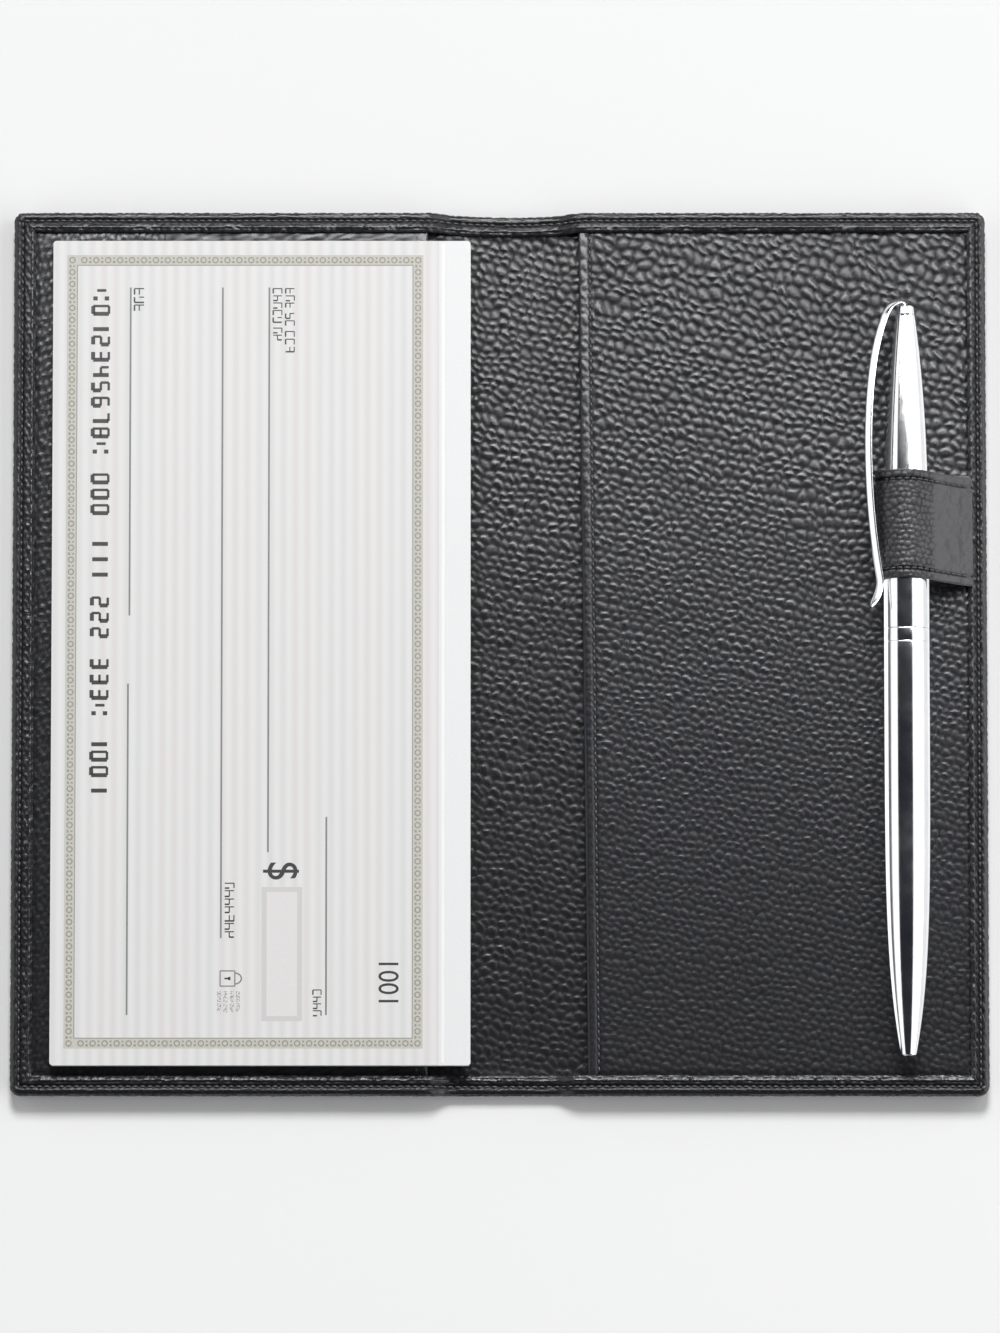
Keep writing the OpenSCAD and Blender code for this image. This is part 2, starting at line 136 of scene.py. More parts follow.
def pebbles(u, v, seed):
    """Height from 0 in the grooves to 1 on the pebbles, for cells about 1 wide."""
    u = u + 0.55 * (noise(u * 0.45, v * 0.45, seed + 3) - 0.5) \
        + 0.3 * (noise(u * 0.13, v * 0.13, seed + 5) - 0.5)
    v = v + 0.55 * (noise(u * 0.45, v * 0.45, seed + 4) - 0.5) \
        + 0.9 * (noise(u * 0.11, v * 0.16, seed + 6) - 0.5)
    first = np.full(u.shape, 9.0)
    second = np.full(u.shape, 9.0)
    level = np.zeros(u.shape)
    cu, cv = np.floor(u), np.floor(v)
    for dv in (-2, -1, 0, 1, 2):
        row = cv + dv
        shift = 0.5 * np.mod(row, 2)
        for du in (-2, -1, 0, 1, 2):
            column = cu + du
            px = column + shift + 0.5 + 0.55 * (chance(column, row, seed) - 0.5)
            py = row + 0.5 + 0.55 * (chance(column, row, seed + 1) - 0.5)
            d = np.hypot(u - px, v - py)
            nearer = d < first
            second = np.where(nearer, first, np.minimum(second, d))
            level = np.where(nearer, chance(column, row, seed + 2), level)
            first = np.where(nearer, d, first)
    rise = np.clip((second - first) / GRAIN_GROOVE, 0, 1)
    dome = 1 - np.clip(first / 0.8, 0, 1) ** 2
    return rise ** 0.7 * (0.42 + 0.58 * dome) * (0.7 + 0.3 * level)


def loose(x, y, seed):
    """A wander of up to half a pebble that breaks up the rows."""
    return 0.4 * (noise(x / 3.1, y / 2.7, seed) - 0.5) + 0.15 * (noise(x / 1.3, y / 1.5, seed + 1) - 0.5)


# Mesh helpers
def link(obj):
    bpy.context.scene.collection.objects.link(obj)


def build(name, points, faces, smooth_faces=True, grain=None):
    """A mesh object from points in millimetres."""
    mesh = bpy.data.meshes.new(name)
    points = np.asarray(points, float).reshape(-1, 3) * MM
    faces = np.asarray(faces, np.int64)
    count, corners = faces.shape
    mesh.vertices.add(len(points))
    mesh.vertices.foreach_set("co", points.astype(np.float32).ravel())
    mesh.loops.add(count * corners)
    mesh.loops.foreach_set("vertex_index", faces.astype(np.int32).ravel())
    mesh.polygons.add(count)
    mesh.polygons.foreach_set("loop_start", np.arange(0, count * corners, corners, dtype=np.int32))
    mesh.polygons.foreach_set("loop_total", np.full(count, corners, dtype=np.int32))
    mesh.update(calc_edges=True)
    mesh.validate()
    mesh.polygons.foreach_set("use_smooth", np.full(len(mesh.polygons), smooth_faces))
    # The grain attribute holds the pebble grain and, on the rim, pockets and loop, painted shade and painted
    # highlights too.
    if grain is not None:
        attribute = mesh.attributes.new("grain", "FLOAT", "POINT")
        attribute.data.foreach_set("value", np.asarray(grain, np.float32).ravel())
    obj = bpy.data.objects.new(name, mesh)
    link(obj)
    return obj


def grid_faces(rows, columns, around=False, turned=False):
    """Quads of a grid of points, joined to a tube along its columns if around is set."""
    i = np.arange(rows - 1)[:, None]
    j = np.arange(columns if around else columns - 1)[None, :]
    k = (j + 1) % columns
    low, high = i * columns, (i + 1) * columns
    quads = np.stack([low + j, low + k, high + k, high + j], axis=-1).reshape(-1, 4)
    return quads[:, ::-1] if turned else quads


def surface(name, points, around=False, turned=False, smooth_faces=True, grain=None):
    """A mesh object on a grid of points."""
    points = np.asarray(points)
    return build(name, points, grid_faces(*points.shape[:2], around, turned), smooth_faces, grain)


def finish_piece(obj, body, slot, material, *nodes):
    """Gives a piece its material and its body, or bakes its place in where the body is a pair of bodies, and
    hides the nodes that it stands for.
    """
    obj.data.materials.append(material)
    if isinstance(body, tuple):
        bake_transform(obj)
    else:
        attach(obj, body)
    if nodes:
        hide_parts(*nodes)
    return obj


# The two halves, where x is positive (1) or negative (-1)
SIDE = {1: "right", -1: "left"}
BEND = {1: ("spine", "right_cover", (0.001, 0, 0), (0.009, 0, 0)),
        -1: ("left_cover", "spine", (-0.009, 0, 0), (-0.001, 0, 0))}


# Materials
def new_material(name):
    """A new material with its tree, its shader and the place on the object that its textures use."""
    material = bpy.data.materials.new(name)
    material.use_nodes = True
    tree = material.node_tree
    coordinates = tree.nodes.new("ShaderNodeTexCoord").outputs["Object"]
    return material, tree, tree.nodes["Principled BSDF"], coordinates


def feed(tree, made, **values):
    """Sets inputs of a node to values or to what sockets give; an input is named, or counted, as in_0."""
    for key, value in values.items():
        key = key.replace("_", " ")
        socket = made.inputs[int(key[3:]) if key.startswith("in ") else key]
        if isinstance(value, bpy.types.NodeSocket):
            tree.links.new(value, socket)
        else:
            socket.default_value = value


def node(tree, kind, settings=(), **values):
    """A shader node with its settings and its inputs."""
    made = tree.nodes.new(kind)
    for key, value in dict(settings).items():
        setattr(made, key, value)
    feed(tree, made, **values)
    return made


def ramp(tree, source, stops):
    """A colour that changes with the source through its stops."""
    made = tree.nodes.new("ShaderNodeValToRGB")
    made.color_ramp.elements.remove(made.color_ramp.elements[1])
    made.color_ramp.elements[0].position = stops[0][0]
    made.color_ramp.elements[0].color = (*stops[0][1], 1)
    for position, colour in stops[1:]:
        made.color_ramp.elements.new(position).color = (*colour, 1)
    tree.links.new(source, made.inputs[0])
    return made.outputs[0]


def spread(tree, source, from_low, from_high, to_low, to_high):
    """The source's range mapped to another."""
    return node(tree, "ShaderNodeMapRange", Value=source, From_Min=from_low, From_Max=from_high,
                To_Min=to_low, To_Max=to_high).outputs["Result"]


def noise_texture(tree, coordinates, scale, detail, roughness):
    return node(tree, "ShaderNodeTexNoise", Vector=coordinates, Scale=scale, Detail=detail,
                Roughness=roughness).outputs["Fac"]


def multiply_add(tree, source, factor, added):
    settings = {"operation": "MULTIPLY_ADD"}
    return node(tree, "ShaderNodeMath", settings, in_0=source, in_1=factor, in_2=added).outputs[0]


def add_bump(tree, shader, height, strength, distance):
    bump = node(tree, "ShaderNodeBump", Strength=strength, Distance=distance, Height=height)
    feed(tree, shader, Normal=bump.outputs["Normal"])


def leather(name, dark, light, smoothest, roughest, fine):
    """Dyed pebbled leather: the grain attribute darkens and roughens its grooves, and where it also carries
    painted shade and painted highlights it paints them into the colour.
    """
    material, tree, shader, coordinates = new_material(name)
    grain = node(tree, "ShaderNodeAttribute", {"attribute_name": "grain"}).outputs["Fac"]
    broad = noise_texture(tree, coordinates, 38.0, 4.0, 0.6)
    pores = noise_texture(tree, coordinates, 3300.0, 3.0, 0.65)
    creases = node(tree, "ShaderNodeTexVoronoi", {"feature": "DISTANCE_TO_EDGE"}, Vector=coordinates,
                   Scale=1900.0).outputs["Distance"]
    mixed = multiply_add(tree, broad, 0.45, grain)
    feed(tree, shader, Base_Color=ramp(tree, mixed, [(0.15, dark), (1.2, light)]),
         Roughness=spread(tree, mixed, 0.0, 1.25, roughest, smoothest),
         Specular_IOR_Level=spread(tree, mixed, 0.1, 1.1, 0.06, 0.46))
    add_bump(tree, shader, multiply_add(tree, creases, 0.55, pores), fine, 0.00006)
    return material


hide_leather = leather("hide_leather", (0.004, 0.004, 0.0048), (0.015, 0.015, 0.0185), 0.22, 0.58, 0.9)
panel_leather = leather("panel_leather", (0.0038, 0.0038, 0.005), (0.019, 0.0195, 0.0235), 0.22, 0.62, 0.4)
lining_leather = leather("lining_leather", (0.003, 0.003, 0.0036), (0.014, 0.014, 0.017), 0.22, 0.64, 0.4)
loop_leather = leather("loop_leather", (0.005, 0.005, 0.006), (0.036, 0.036, 0.04), 0.3, 0.62, 0.7)


def chrome(name, rough):
    """Polished plating with a faint haze."""
    material, tree, shader, coordinates = new_material(name)
    haze = noise_texture(tree, coordinates, 120.0, 5.0, 0.7)
    feed(tree, shader, Base_Color=ramp(tree, haze, [(0.3, (0.80, 0.81, 0.83)), (0.7, (0.86, 0.87, 0.88))]),
         Roughness=spread(tree, haze, 0.3, 0.7, rough * 0.7, rough * 1.4), Metallic=1)
    return material


pen_chrome = chrome("pen_chrome", 0.12)
clip_chrome = chrome("clip_chrome", 0.16)


def plain(name, low, high, rough, scale, metallic=0.0, strength=0.1):
    """A plain solid material with a mottled colour and a fine surface."""
    material, tree, shader, coordinates = new_material(name)
    mottle = noise_texture(tree, coordinates, scale, 5.0, 0.65)
    feed(tree, shader, Base_Color=ramp(tree, mottle, [(0.3, low), (0.7, high)]),
         Roughness=spread(tree, mottle, 0.3, 0.7, rough, rough + 0.12), Metallic=metallic)
    add_bump(tree, shader, mottle, strength, 0.00005)
    return material


thread_black = plain("thread_black", (0.01, 0.01, 0.011), (0.05, 0.05, 0.055), 0.34, 5200.0, 0.0, 0.3)
brass = plain("brass", (0.55, 0.4, 0.16), (0.66, 0.5, 0.24), 0.22, 400.0, 1.0)
steel = plain("steel", (0.5, 0.5, 0.52), (0.6, 0.6, 0.62), 0.15, 500.0, 1.0)
white_plastic = plain("white_plastic", (0.75, 0.75, 0.74), (0.82, 0.82, 0.81), 0.4, 300.0)
grey_board = plain("grey_board", (0.25, 0.22, 0.19), (0.42, 0.38, 0.33), 0.8, 1400.0, 0.0, 0.5)
pale_card = plain("pale_card", (0.66, 0.65, 0.6), (0.76, 0.75, 0.71), 0.7, 1500.0, 0.0, 0.3)
page_edges = plain("page_edges", (0.6, 0.61, 0.6), (0.78, 0.78, 0.77), 0.75, 2500.0, 0.0, 0.4)
stub_paper = plain("stub_paper", (0.82, 0.83, 0.83), (0.86, 0.87, 0.87), 0.55, 2600.0, 0.0, 0.15)
# Whiter paper for the perforation lip: a painted highlight along the fold.
painted_highlight_lip_paper = plain("painted_highlight_lip_paper", (0.93, 0.93, 0.93), (0.96, 0.96, 0.96), 0.5, 2600.0, 0.0, 0.1)
ink_black = plain("ink_black", (0.008, 0.008, 0.008), (0.02, 0.02, 0.02), 0.5, 4000.0)
ink_grey = plain("ink_grey", (0.17, 0.17, 0.17), (0.26, 0.26, 0.26), 0.6, 4000.0)
ink_olive = plain("ink_olive", (0.24, 0.235, 0.2), (0.4, 0.39, 0.34), 0.6, 4000.0)
band_tint = plain("band_tint", (0.54, 0.53, 0.47), (0.62, 0.61, 0.55), 0.6, 4000.0)
box_tint = plain("box_tint", (0.62, 0.6, 0.595), (0.67, 0.65, 0.645), 0.6, 4000.0)
box_fill = plain("box_fill", (0.75, 0.72, 0.72), (0.79, 0.765, 0.765), 0.6, 3000.0)


def check_paper():
    """Safety paper with soft stripes down its length in turning tints."""
    material, tree, shader, coordinates = new_material("check_paper")
    wave = {"wave_type": "BANDS", "bands_direction": "X", "wave_profile": "SIN"}
    stripes, tints = (node(tree, "ShaderNodeTexWave", wave, Vector=coordinates, Scale=scale).outputs["Fac"]
                      for scale in (142.0, 26.0))
    tint = ramp(tree, tints, [(0.0, (0.73, 0.7, 0.69)), (0.5, (0.73, 0.715, 0.71)), (1.0, (0.7, 0.715, 0.7))])
    mixed = node(tree, "ShaderNodeMix", {"data_type": "RGBA", "blend_type": "MIX"}, Factor=stripes, in_6=tint,
                 in_7=(0.79, 0.78, 0.775, 1))
    feed(tree, shader, Base_Color=mixed.outputs[2], Roughness=0.62)
    add_bump(tree, shader, noise_texture(tree, coordinates, 2600.0, 5.0, 0.7), 0.15, 0.00003)
    return material


check_face = check_paper()


# The hide: a strip round the whole edge, from the hem's inner edge over the rim to the underside
DIP_DEPTH = 0.65
DIP_X = 2
DIP_HALF_W = 13.5
STITCH = 1.35
GROOVE_AT = 1.6
RIM_GAP = 0.36
FOOT_R = 0.6
ROLL_START = 0.45
ROLL_R = 0.4
UNDER_Z = 0.02


def dip(x):
    """How far the top edge is drawn in at the spine."""
    return DIP_DEPTH * np.clip(1 - ((x - DIP_X) / DIP_HALF_W) ** 2, 0, None)


def hem_top(x):
    """Height of the hem's top at a place along the width."""
    right = smooth(x, MOUTH_TOP - 4.6, MOUTH_TOP + 0.2)
    outside = np.maximum(right, smooth(-x, LEFT_MOUTH - 4.6, LEFT_MOUTH + 0.2))
    return CREASE_Z + (COVER_T - CREASE_Z) * outside


# Rows of the strip: the kind of surface, and the share, angle or inset on it
RIM_ROWS = [("lip", 0.0)]
RIM_ROWS += [("top", share) for share in (1.0, 0.985, 0.95, *np.linspace(0.9, 0.06, 22))]
RIM_ROWS += [("roll", angle) for angle in np.radians(np.linspace(20, 90, 6))]
RIM_ROWS += [("wall", height) for height in (0.86, 0.72, 0.58, 0.44, 0.3, 0.15)]
RIM_ROWS += [("foot", angle) for angle in np.radians(np.linspace(0, 90, 5))]
RIM_ROWS += [("under", inset) for inset in (1.0, 1.6, 2.4)]


def rim_outline(side, side_inset, end_inset):
    """Half of the cover's outline, drawn in: places, outward directions, which are on an end, and travel."""
    ends = np.linspace(0, 1, int(HALF_W / RIM_GAP))
    ups = np.linspace(0, 1, int(2 * HALF_H / RIM_GAP))
    arc = np.linspace(-np.pi / 2, 0, 9)[1:-1]
    back = -arc[::-1]
    mx, my = max(side_inset, CORNER_R), max(end_inset, CORNER_R)
    rx, ry = max(CORNER_R - side_inset, 0), max(CORNER_R - end_inset, 0)
    stretches = (
        (ends * (HALF_W - mx), end_inset - HALF_H, 0, -1, 1, ends * HALF_W),
        (HALF_W - mx + np.cos(arc) * rx, my - HALF_H + np.sin(arc) * ry, np.cos(arc), np.sin(arc), 1,
         HALF_W + (arc + np.pi / 2) * CORNER_R),
        (HALF_W - side_inset, (2 * ups - 1) * (HALF_H - my), 1, 0, 0, HALF_W + 3 + ups * 2 * HALF_H),
        (HALF_W - mx + np.cos(back) * rx, HALF_H - my + np.sin(back) * ry, np.cos(back), np.sin(back), 1,
         HALF_W + 6 + 2 * HALF_H + (np.pi / 2 - back) * -CORNER_R),
        (ends[::-1] * (HALF_W - mx), HALF_H - end_inset, 0, 1, 1, HALF_W + 9 + 2 * HALF_H + ends * HALF_W),
    )
    stretches = [np.array(np.broadcast_arrays(*stretch), float) for stretch in stretches]
    x, y, out_x, out_y, on_end, travel = np.concatenate(stretches, axis=1)
    on_end = on_end > 0
    return x * side, y - np.where(on_end & (y > 0), dip(x * side), 0), out_x * side, out_y, on_end, travel


def hem_surface(side, at, on_end, travel, hem):
    """Rise over the plain hem and its inner ridge, at a distance from the cover's edge."""
    beads = 0.5 + 0.5 * np.cos(2 * np.pi * travel / STITCH)
    groove = hump(at, GROOVE_AT, 0.38)
    knots = 0.35 + 0.9 * noise(travel / 0.62, at * 0.3, 13.0)
    ridge = hump(at, 2.75, 0.2)
    if side < 0:
        ridge = np.where(on_end, ridge, hump(at, 3.4, 0.16))
        knots = np.where(on_end, knots, 0.75 + 0.3 * knots)
    fall = np.clip(1 - at, 0, 1)
    rise = -0.34 * groove * (0.65 + 0.35 * beads) - 0.22 * smooth(at, hem - 0.35, hem)
    rise = rise + 0.22 * knots * ridge + 0.1 * (noise(travel / 0.75, at / 0.5, 15.0) - 0.5)
    return rise - np.where(on_end, 0.5 * fall ** 1.4, 0.65 * fall ** 1.25), ridge


def hide_rim(side):
    """Half of the rim; its grain attribute also carries painted shade and painted highlights along the hem.
    """
    hem_side = HEM_RIGHT if side > 0 else HEM_LEFT
    rows, grain_and_painted_light_rows = [], []
    for kind, value in RIM_ROWS:
        side_inset = end_inset = 0.0
        if kind in ("lip", "top"):
            share = 1 if kind == "lip" else value
            end_inset, side_inset = share * HEM_END, share * hem_side
        elif kind == "roll":
            end_inset = side_inset = 0.224 * (1 - math.sin(value))
        elif kind == "foot":
            end_inset = side_inset = FOOT_R * (1 - math.cos(value))
        elif kind == "under":
            end_inset = side_inset = value
        x, y, out_x, out_y, on_end, travel = rim_outline(side, side_inset, end_inset)
        top = hem_top(x)
        at = np.where(on_end, end_inset, side_inset)
        outwards, upwards = 0.0, 0.0
        if kind == "lip":
            z = top - 0.6
        elif kind == "top":
            rise, ridge = hem_surface(side, at, on_end, travel, np.where(on_end, HEM_END, hem_side))
            z = top + rise
            upwards = 1.0
        elif kind == "roll":
            z = top - ROLL_START - ROLL_R * math.sin(value)
            outwards, upwards = math.sin(value), math.cos(value)
        elif kind == "wall":
            z = FOOT_R + (top - ROLL_START - ROLL_R - FOOT_R) * value
            outwards = 1.0
        elif kind == "foot":
            z = np.full(len(x), FOOT_R * (1 - math.sin(value)))
            outwards, upwards = math.cos(value), -math.sin(value)
        else:
            z = np.full(len(x), UNDER_Z)
        down = COVER_T - z
        grain = pebbles((x + side * down) / 1.3 + 40 * side, (y + np.sign(y) * down) / 1.1, 11.0)
        depth = 0.24 * (grain - 0.75)
        if kind == "top":
            calm = 1 - 0.6 * hump(at, GROOVE_AT, 0.35)
            depth = depth * calm * (0.35 + 0.65 * smooth(at, 0.5, 1.2))
            # Painted shade: a dark band along the stitch groove. Painted highlight: a light line along the
            # inner ridge.
            grain = grain * (1 - 0.9 * hump(at, 1.75, 0.6)) + 0.6 * ridge
            # Painted highlight: the hem's outer edge is made lighter as well as glossier.
            grain = grain + 0.45 * (1 - smooth(at, 0.6, 1.0))
        elif kind in ("roll", "wall"):
            # Painted sheen: the roll and wall are made lighter as well as glossier.
            grain = grain * 0.5 + 0.75
        outwards = outwards * depth
        rows.append(np.stack([x + out_x * outwards, y + out_y * outwards, z + upwards * depth], 1))
        grain_and_painted_light_rows.append(grain)
    return surface(f"hide_rim_{SIDE[side]}", rows, turned=side > 0, grain=np.array(grain_and_painted_light_rows))


def hide_back(side):
    """The underside within the rim."""
    inset = 2.0
    columns = np.linspace(0, HALF_W - inset, 210) * side
    rows = np.linspace(-1, 1, 380)
    x, share = np.meshgrid(columns, rows)
    y = np.where(share > 0, share * (HALF_H - inset - dip(x)), share * (HALF_H - inset))
    grain = pebbles(x / 1.9 + 7, y / 1.75, 21.0)
    border = smooth(HALF_W - inset - np.abs(x), 0, 1.5) * smooth(HALF_H - inset - np.abs(y), 0, 1.5)
    z = UNDER_Z + 0.16 * (1 - grain) * border + 0.1 * hump(np.abs(x), CREASE_X, 0.9) * border
    return surface(f"hide_back_{SIDE[side]}", np.stack([x, y, z], -1), turned=side > 0, grain=grain)


finish_piece(hide_rim(1), BEND[1], "hide", hide_leather, "right_outer_leather", "spine_outer_leather")
finish_piece(hide_rim(-1), BEND[-1], "hide", hide_leather, "left_outer_leather")
finish_piece(hide_back(1), BEND[1], "hide", hide_leather)
finish_piece(hide_back(-1), BEND[-1], "hide", hide_leather)


# Lining: fine grain where it shows between the pocket mouths
def lining(side):
    reach = 18.0 if side > 0 else 16.0
    fine = np.arange(0, reach, 0.31)
    coarse = np.linspace(reach, HALF_W - 1.4, 26)
    columns = np.concatenate([fine, coarse]) * side
    rows = np.linspace(-1, 1, 500)
    x, share = np.meshgrid(columns, rows)
    y = np.where(share > 0, share * (INNER_H - 0.1 - dip(x)), share * (INNER_H - 0.1))
    grain = pebbles((x + 0.05 * y) / 1.75 + loose(x, y, 35.0), (y + 0.2 * x) / 1.55 + loose(y, x, 37.0), 31.0)
    calm = 1 - 0.5 * smooth(np.abs(y), INNER_H - 4.5, INNER_H - 2.5)
    depth = (0.19 + 0.11 * smooth(y, -10, 60)) * calm
    z = LINING_Z - depth * (1 - grain) + 0.1 * (noise(x / 6, y / 9, 33.0) - 0.5)
    z = z - 0.08 * hump(np.abs(x), CREASE_X, 1.1)
    valley = 8.6 - 0.02 * (INNER_H - y)
    z = z - 0.3 * hump(x, valley, 2.4) * smooth(y, 28, 74) * smooth(INNER_H - y, 2, 6)
    return surface(f"lining_{SIDE[side]}_skin", np.stack([x, y, z], -1), turned=side < 0, grain=grain)


finish_piece(lining(1), BEND[1], "lining", lining_leather, "right_lining", "spine_lining")
finish_piece(lining(-1), BEND[-1], "lining", lining_leather, "left_lining")


# Pocket panels: one sheet round the turned mouth, closed at the back
MOUTH_STITCH = 2.05


def pocket(side, gap):
    low, high = panel_low[2], panel_high[2]
    nose = (high - low) / 2
    mouth_low = MOUTH_TOP + MOUTH_SLANT if side > 0 else LEFT_MOUTH
    mouth_high = MOUTH_TOP if side > 0 else LEFT_MOUTH
    rows = np.arange(-INNER_H, INNER_H, gap)
    rows = rows * INNER_H / abs(rows[0])
    mouth = mouth_low + (mouth_high - mouth_low) * (rows + INNER_H) / (2 * INNER_H)
    far = HALF_W - 1.2
    if side > 0:
        shares = np.linspace(0, 1, int((far - mouth_low - nose) / gap))
    else:
        shares = np.concatenate([np.linspace(0, 0.64, 48)[:-1], np.linspace(0.64, 1, 92)])
    columns = [(far, low), (far - 20, low), (mouth + 6, low), (mouth + 1.5, low), (mouth + nose, low)]
    columns += [(mouth + nose - nose * math.sin(a), high - nose - nose * math.cos(a))
                for a in np.linspace(0.3, math.pi - 0.3, 8)]
    hidden = len(columns)
    columns += [(mouth + nose + (far - mouth - nose) * share, high) for share in shares]
    x = np.stack([np.broadcast_to(c[0], rows.shape) for c in columns], 1)
    z = np.stack([np.broadcast_to(c[1], rows.shape) for c in columns], 1)
    y = np.broadcast_to(rows[:, None], x.shape)
    top_side = np.broadcast_to(np.arange(len(columns)) >= hidden, x.shape)
    run = y + 0.24 * x
    v = run / 1.32 - 0.0014 * np.clip(run, 0, None) ** 2 + loose(y, x, 47.0)
    depth = 0.16 + 0.04 * smooth(y, -60, 20)
    if side > 0:
        pitch = 1.55 + 0.4 * smooth(y, -40, 75)
        depth = depth + 0.19 * smooth(y, 10, 72)
    else:
        pitch = 1.25
        v = v * 1.2
    grain = pebbles((x - 10 + 0.05 * y) / pitch + loose(x, y, 45.0) + 60 * (side < 0), v, 41.0 + side)
    from_mouth = x - mouth[:, None]
    strip = 0.35 + 0.65 * smooth(from_mouth, 1.9, 2.9)
    beads = 0.5 + 0.5 * np.cos(2 * np.pi * y / STITCH)
    groove = hump(from_mouth, MOUTH_STITCH, 0.26)
    relief = -depth * (1 - grain) * strip - 0.24 * groove * (0.6 + 0.4 * beads)
    crown = 0.14 - 0.26 * ((from_mouth - 0.45) / 1.5) ** 2
    relief = relief + np.clip(crown, -0.15, 0.14) * (1 - strip) + 0.05 * (noise(x / 11, y / 14, 43.0) - 0.5)
    edge = np.minimum(HALF_W - (HEM_RIGHT if side > 0 else HEM_LEFT) - x, HALF_H - HEM_END - np.abs(y))
    relief = relief - 0.16 * (1 - smooth(edge, -0.2, 1.1))
    # Painted shade: the panel's colour darkens towards its lower end, as if the light fell off there.
    painted_lighting = 0.6 + 0.4 * smooth(y, -80, -25)
    # Painted sheen: the smooth strip at the mouth gets a high value, so it is lighter as well as glossier.
    # Painted shade darkens the stitch groove.
    shade = np.where(top_side, grain * strip * painted_lighting + (1 - strip) * 1.15 - 0.9 * groove, 0.7)
    points = np.stack([x * side, y, z + np.where(top_side, relief, 0)], -1)
    return surface(f"{SIDE[side]}_panel_skin", points, turned=side < 0, grain=shade)


finish_piece(pocket(1, 0.31), "right_cover", "panel", panel_leather, "right_pocket_panel")
finish_piece(pocket(-1, 0.42), "left_cover", "panel", panel_leather, "left_pocket_panel")


# Threads
def walked(path):
    """Distance along a path at each of its points."""
    return np.concatenate([[0], np.cumsum(np.linalg.norm(np.diff(path, axis=0), axis=1))])


def beads_along(name, path, body, lift=0.0):
    """Short stitches of thread laid end to end along a path of points, each dipping at its ends."""
    path = np.asarray(path, float)
    lengths = walked(path)
    turn = 2 * np.pi * np.arange(6) / 6
    rings = np.linspace(-1, 1, 6)
    points = []
    faces = []
    for k in range(int(lengths[-1] / STITCH)):
        stations = (k + 0.5 + rings * 0.5 * 0.86) * STITCH
        here = np.stack([np.interp(stations, lengths, path[:, i]) for i in range(3)], 1)
        along = (here[-1] - here[0]) / np.linalg.norm(here[-1] - here[0])
        across = np.cross([0, 0, 1.0], along)
        across /= max(np.linalg.norm(across), 1e-9)
        up = np.cross(along, across)
        faces.append(grid_faces(6, 6, around=True) + 36 * k)
        for r, centre in zip(rings, here):
            radius = 0.2 * math.sqrt(max(0.06, 1 - r * r * 0.94))
            height = radius * np.sin(turn) + 0.1 * (1 - r * r) + lift
            points.append(centre + np.outer(radius * 1.15 * np.cos(turn), across) + np.outer(height, up))
    return finish_piece(build(name, points, np.concatenate(faces)), body, "hide", thread_black)


def rim_path(side):
    ends = np.linspace(0.3, HALF_W - 1.8, 150)
    ups = np.linspace(-HALF_H + 1.8, HALF_H - 1.8, 260)
    end_y = HALF_H - GROOVE_AT
    low = [(x * side, -end_y, hem_top(x * side) - 0.26) for x in ends]
    out = [((HALF_W - GROOVE_AT) * side, y, COVER_T - 0.26) for y in ups]
    high = [(x * side, end_y - dip(x * side), hem_top(x * side) - 0.26) for x in ends[::-1]]
    return low + out + high


for side in (1, -1):
    beads_along(f"hem_thread_{SIDE[side]}", rim_path(side), BEND[side])
mouth_rows = np.linspace(-HALF_H + HEM_END + 0.4, HALF_H - HEM_END - 0.4, 100)
right_mouth_x = MOUTH_TOP + MOUTH_SLANT * (INNER_H - mouth_rows) / (2 * INNER_H) + MOUTH_STITCH
mouth_z = HEM_Z - 0.22
beads_along("right_mouth_thread", [(x, y, mouth_z) for x, y in zip(right_mouth_x, mouth_rows)], "right_cover")
left_mouth_line = [(-LEFT_MOUTH - MOUTH_STITCH, y, mouth_z) for y in mouth_rows]
beads_along("left_mouth_thread", left_mouth_line, "left_cover", -0.06)


# The pen
PEN_X = (ring_low[0] + ring_high[0]) / 2
PEN_Z = (ring_low[2] + ring_high[2]) / 2
PEN_R = (ring_high[0] - ring_low[0]) / 2
TIP_Y = lower_low[1]
RING_S = ring_low[1] - TIP_Y
RING_END = ring_high[1] - TIP_Y
UPPER_S = upper_low[1] - TIP_Y
CAP_S = upper_high[1] - TIP_Y
PEN_L = cap_high[1] - TIP_Y


def lathe(name, profile, count=96):
    """A closed profile of (radius, distance from the writing end) turned about the pen's axis."""
    profile = np.asarray(profile, float)
    turn = np.linspace(0, 2 * np.pi, count, endpoint=False)
    x = PEN_X + profile[:, :1] * np.cos(turn)
    z = PEN_Z + profile[:, :1] * np.sin(turn)
    y = TIP_Y + np.broadcast_to(profile[:, 1:], x.shape)
    return surface(name, np.stack([x, y, z], -1), around=True)


def lower_r(s):
    return PEN_R - (PEN_R - 1.41) * np.clip(1 - s / RING_S, 0, None) ** 5.2


def upper_r(s):
    return PEN_R - (PEN_R - 1.5) * np.clip((s - UPPER_S) / (PEN_L - UPPER_S), 0, None) ** 3.2


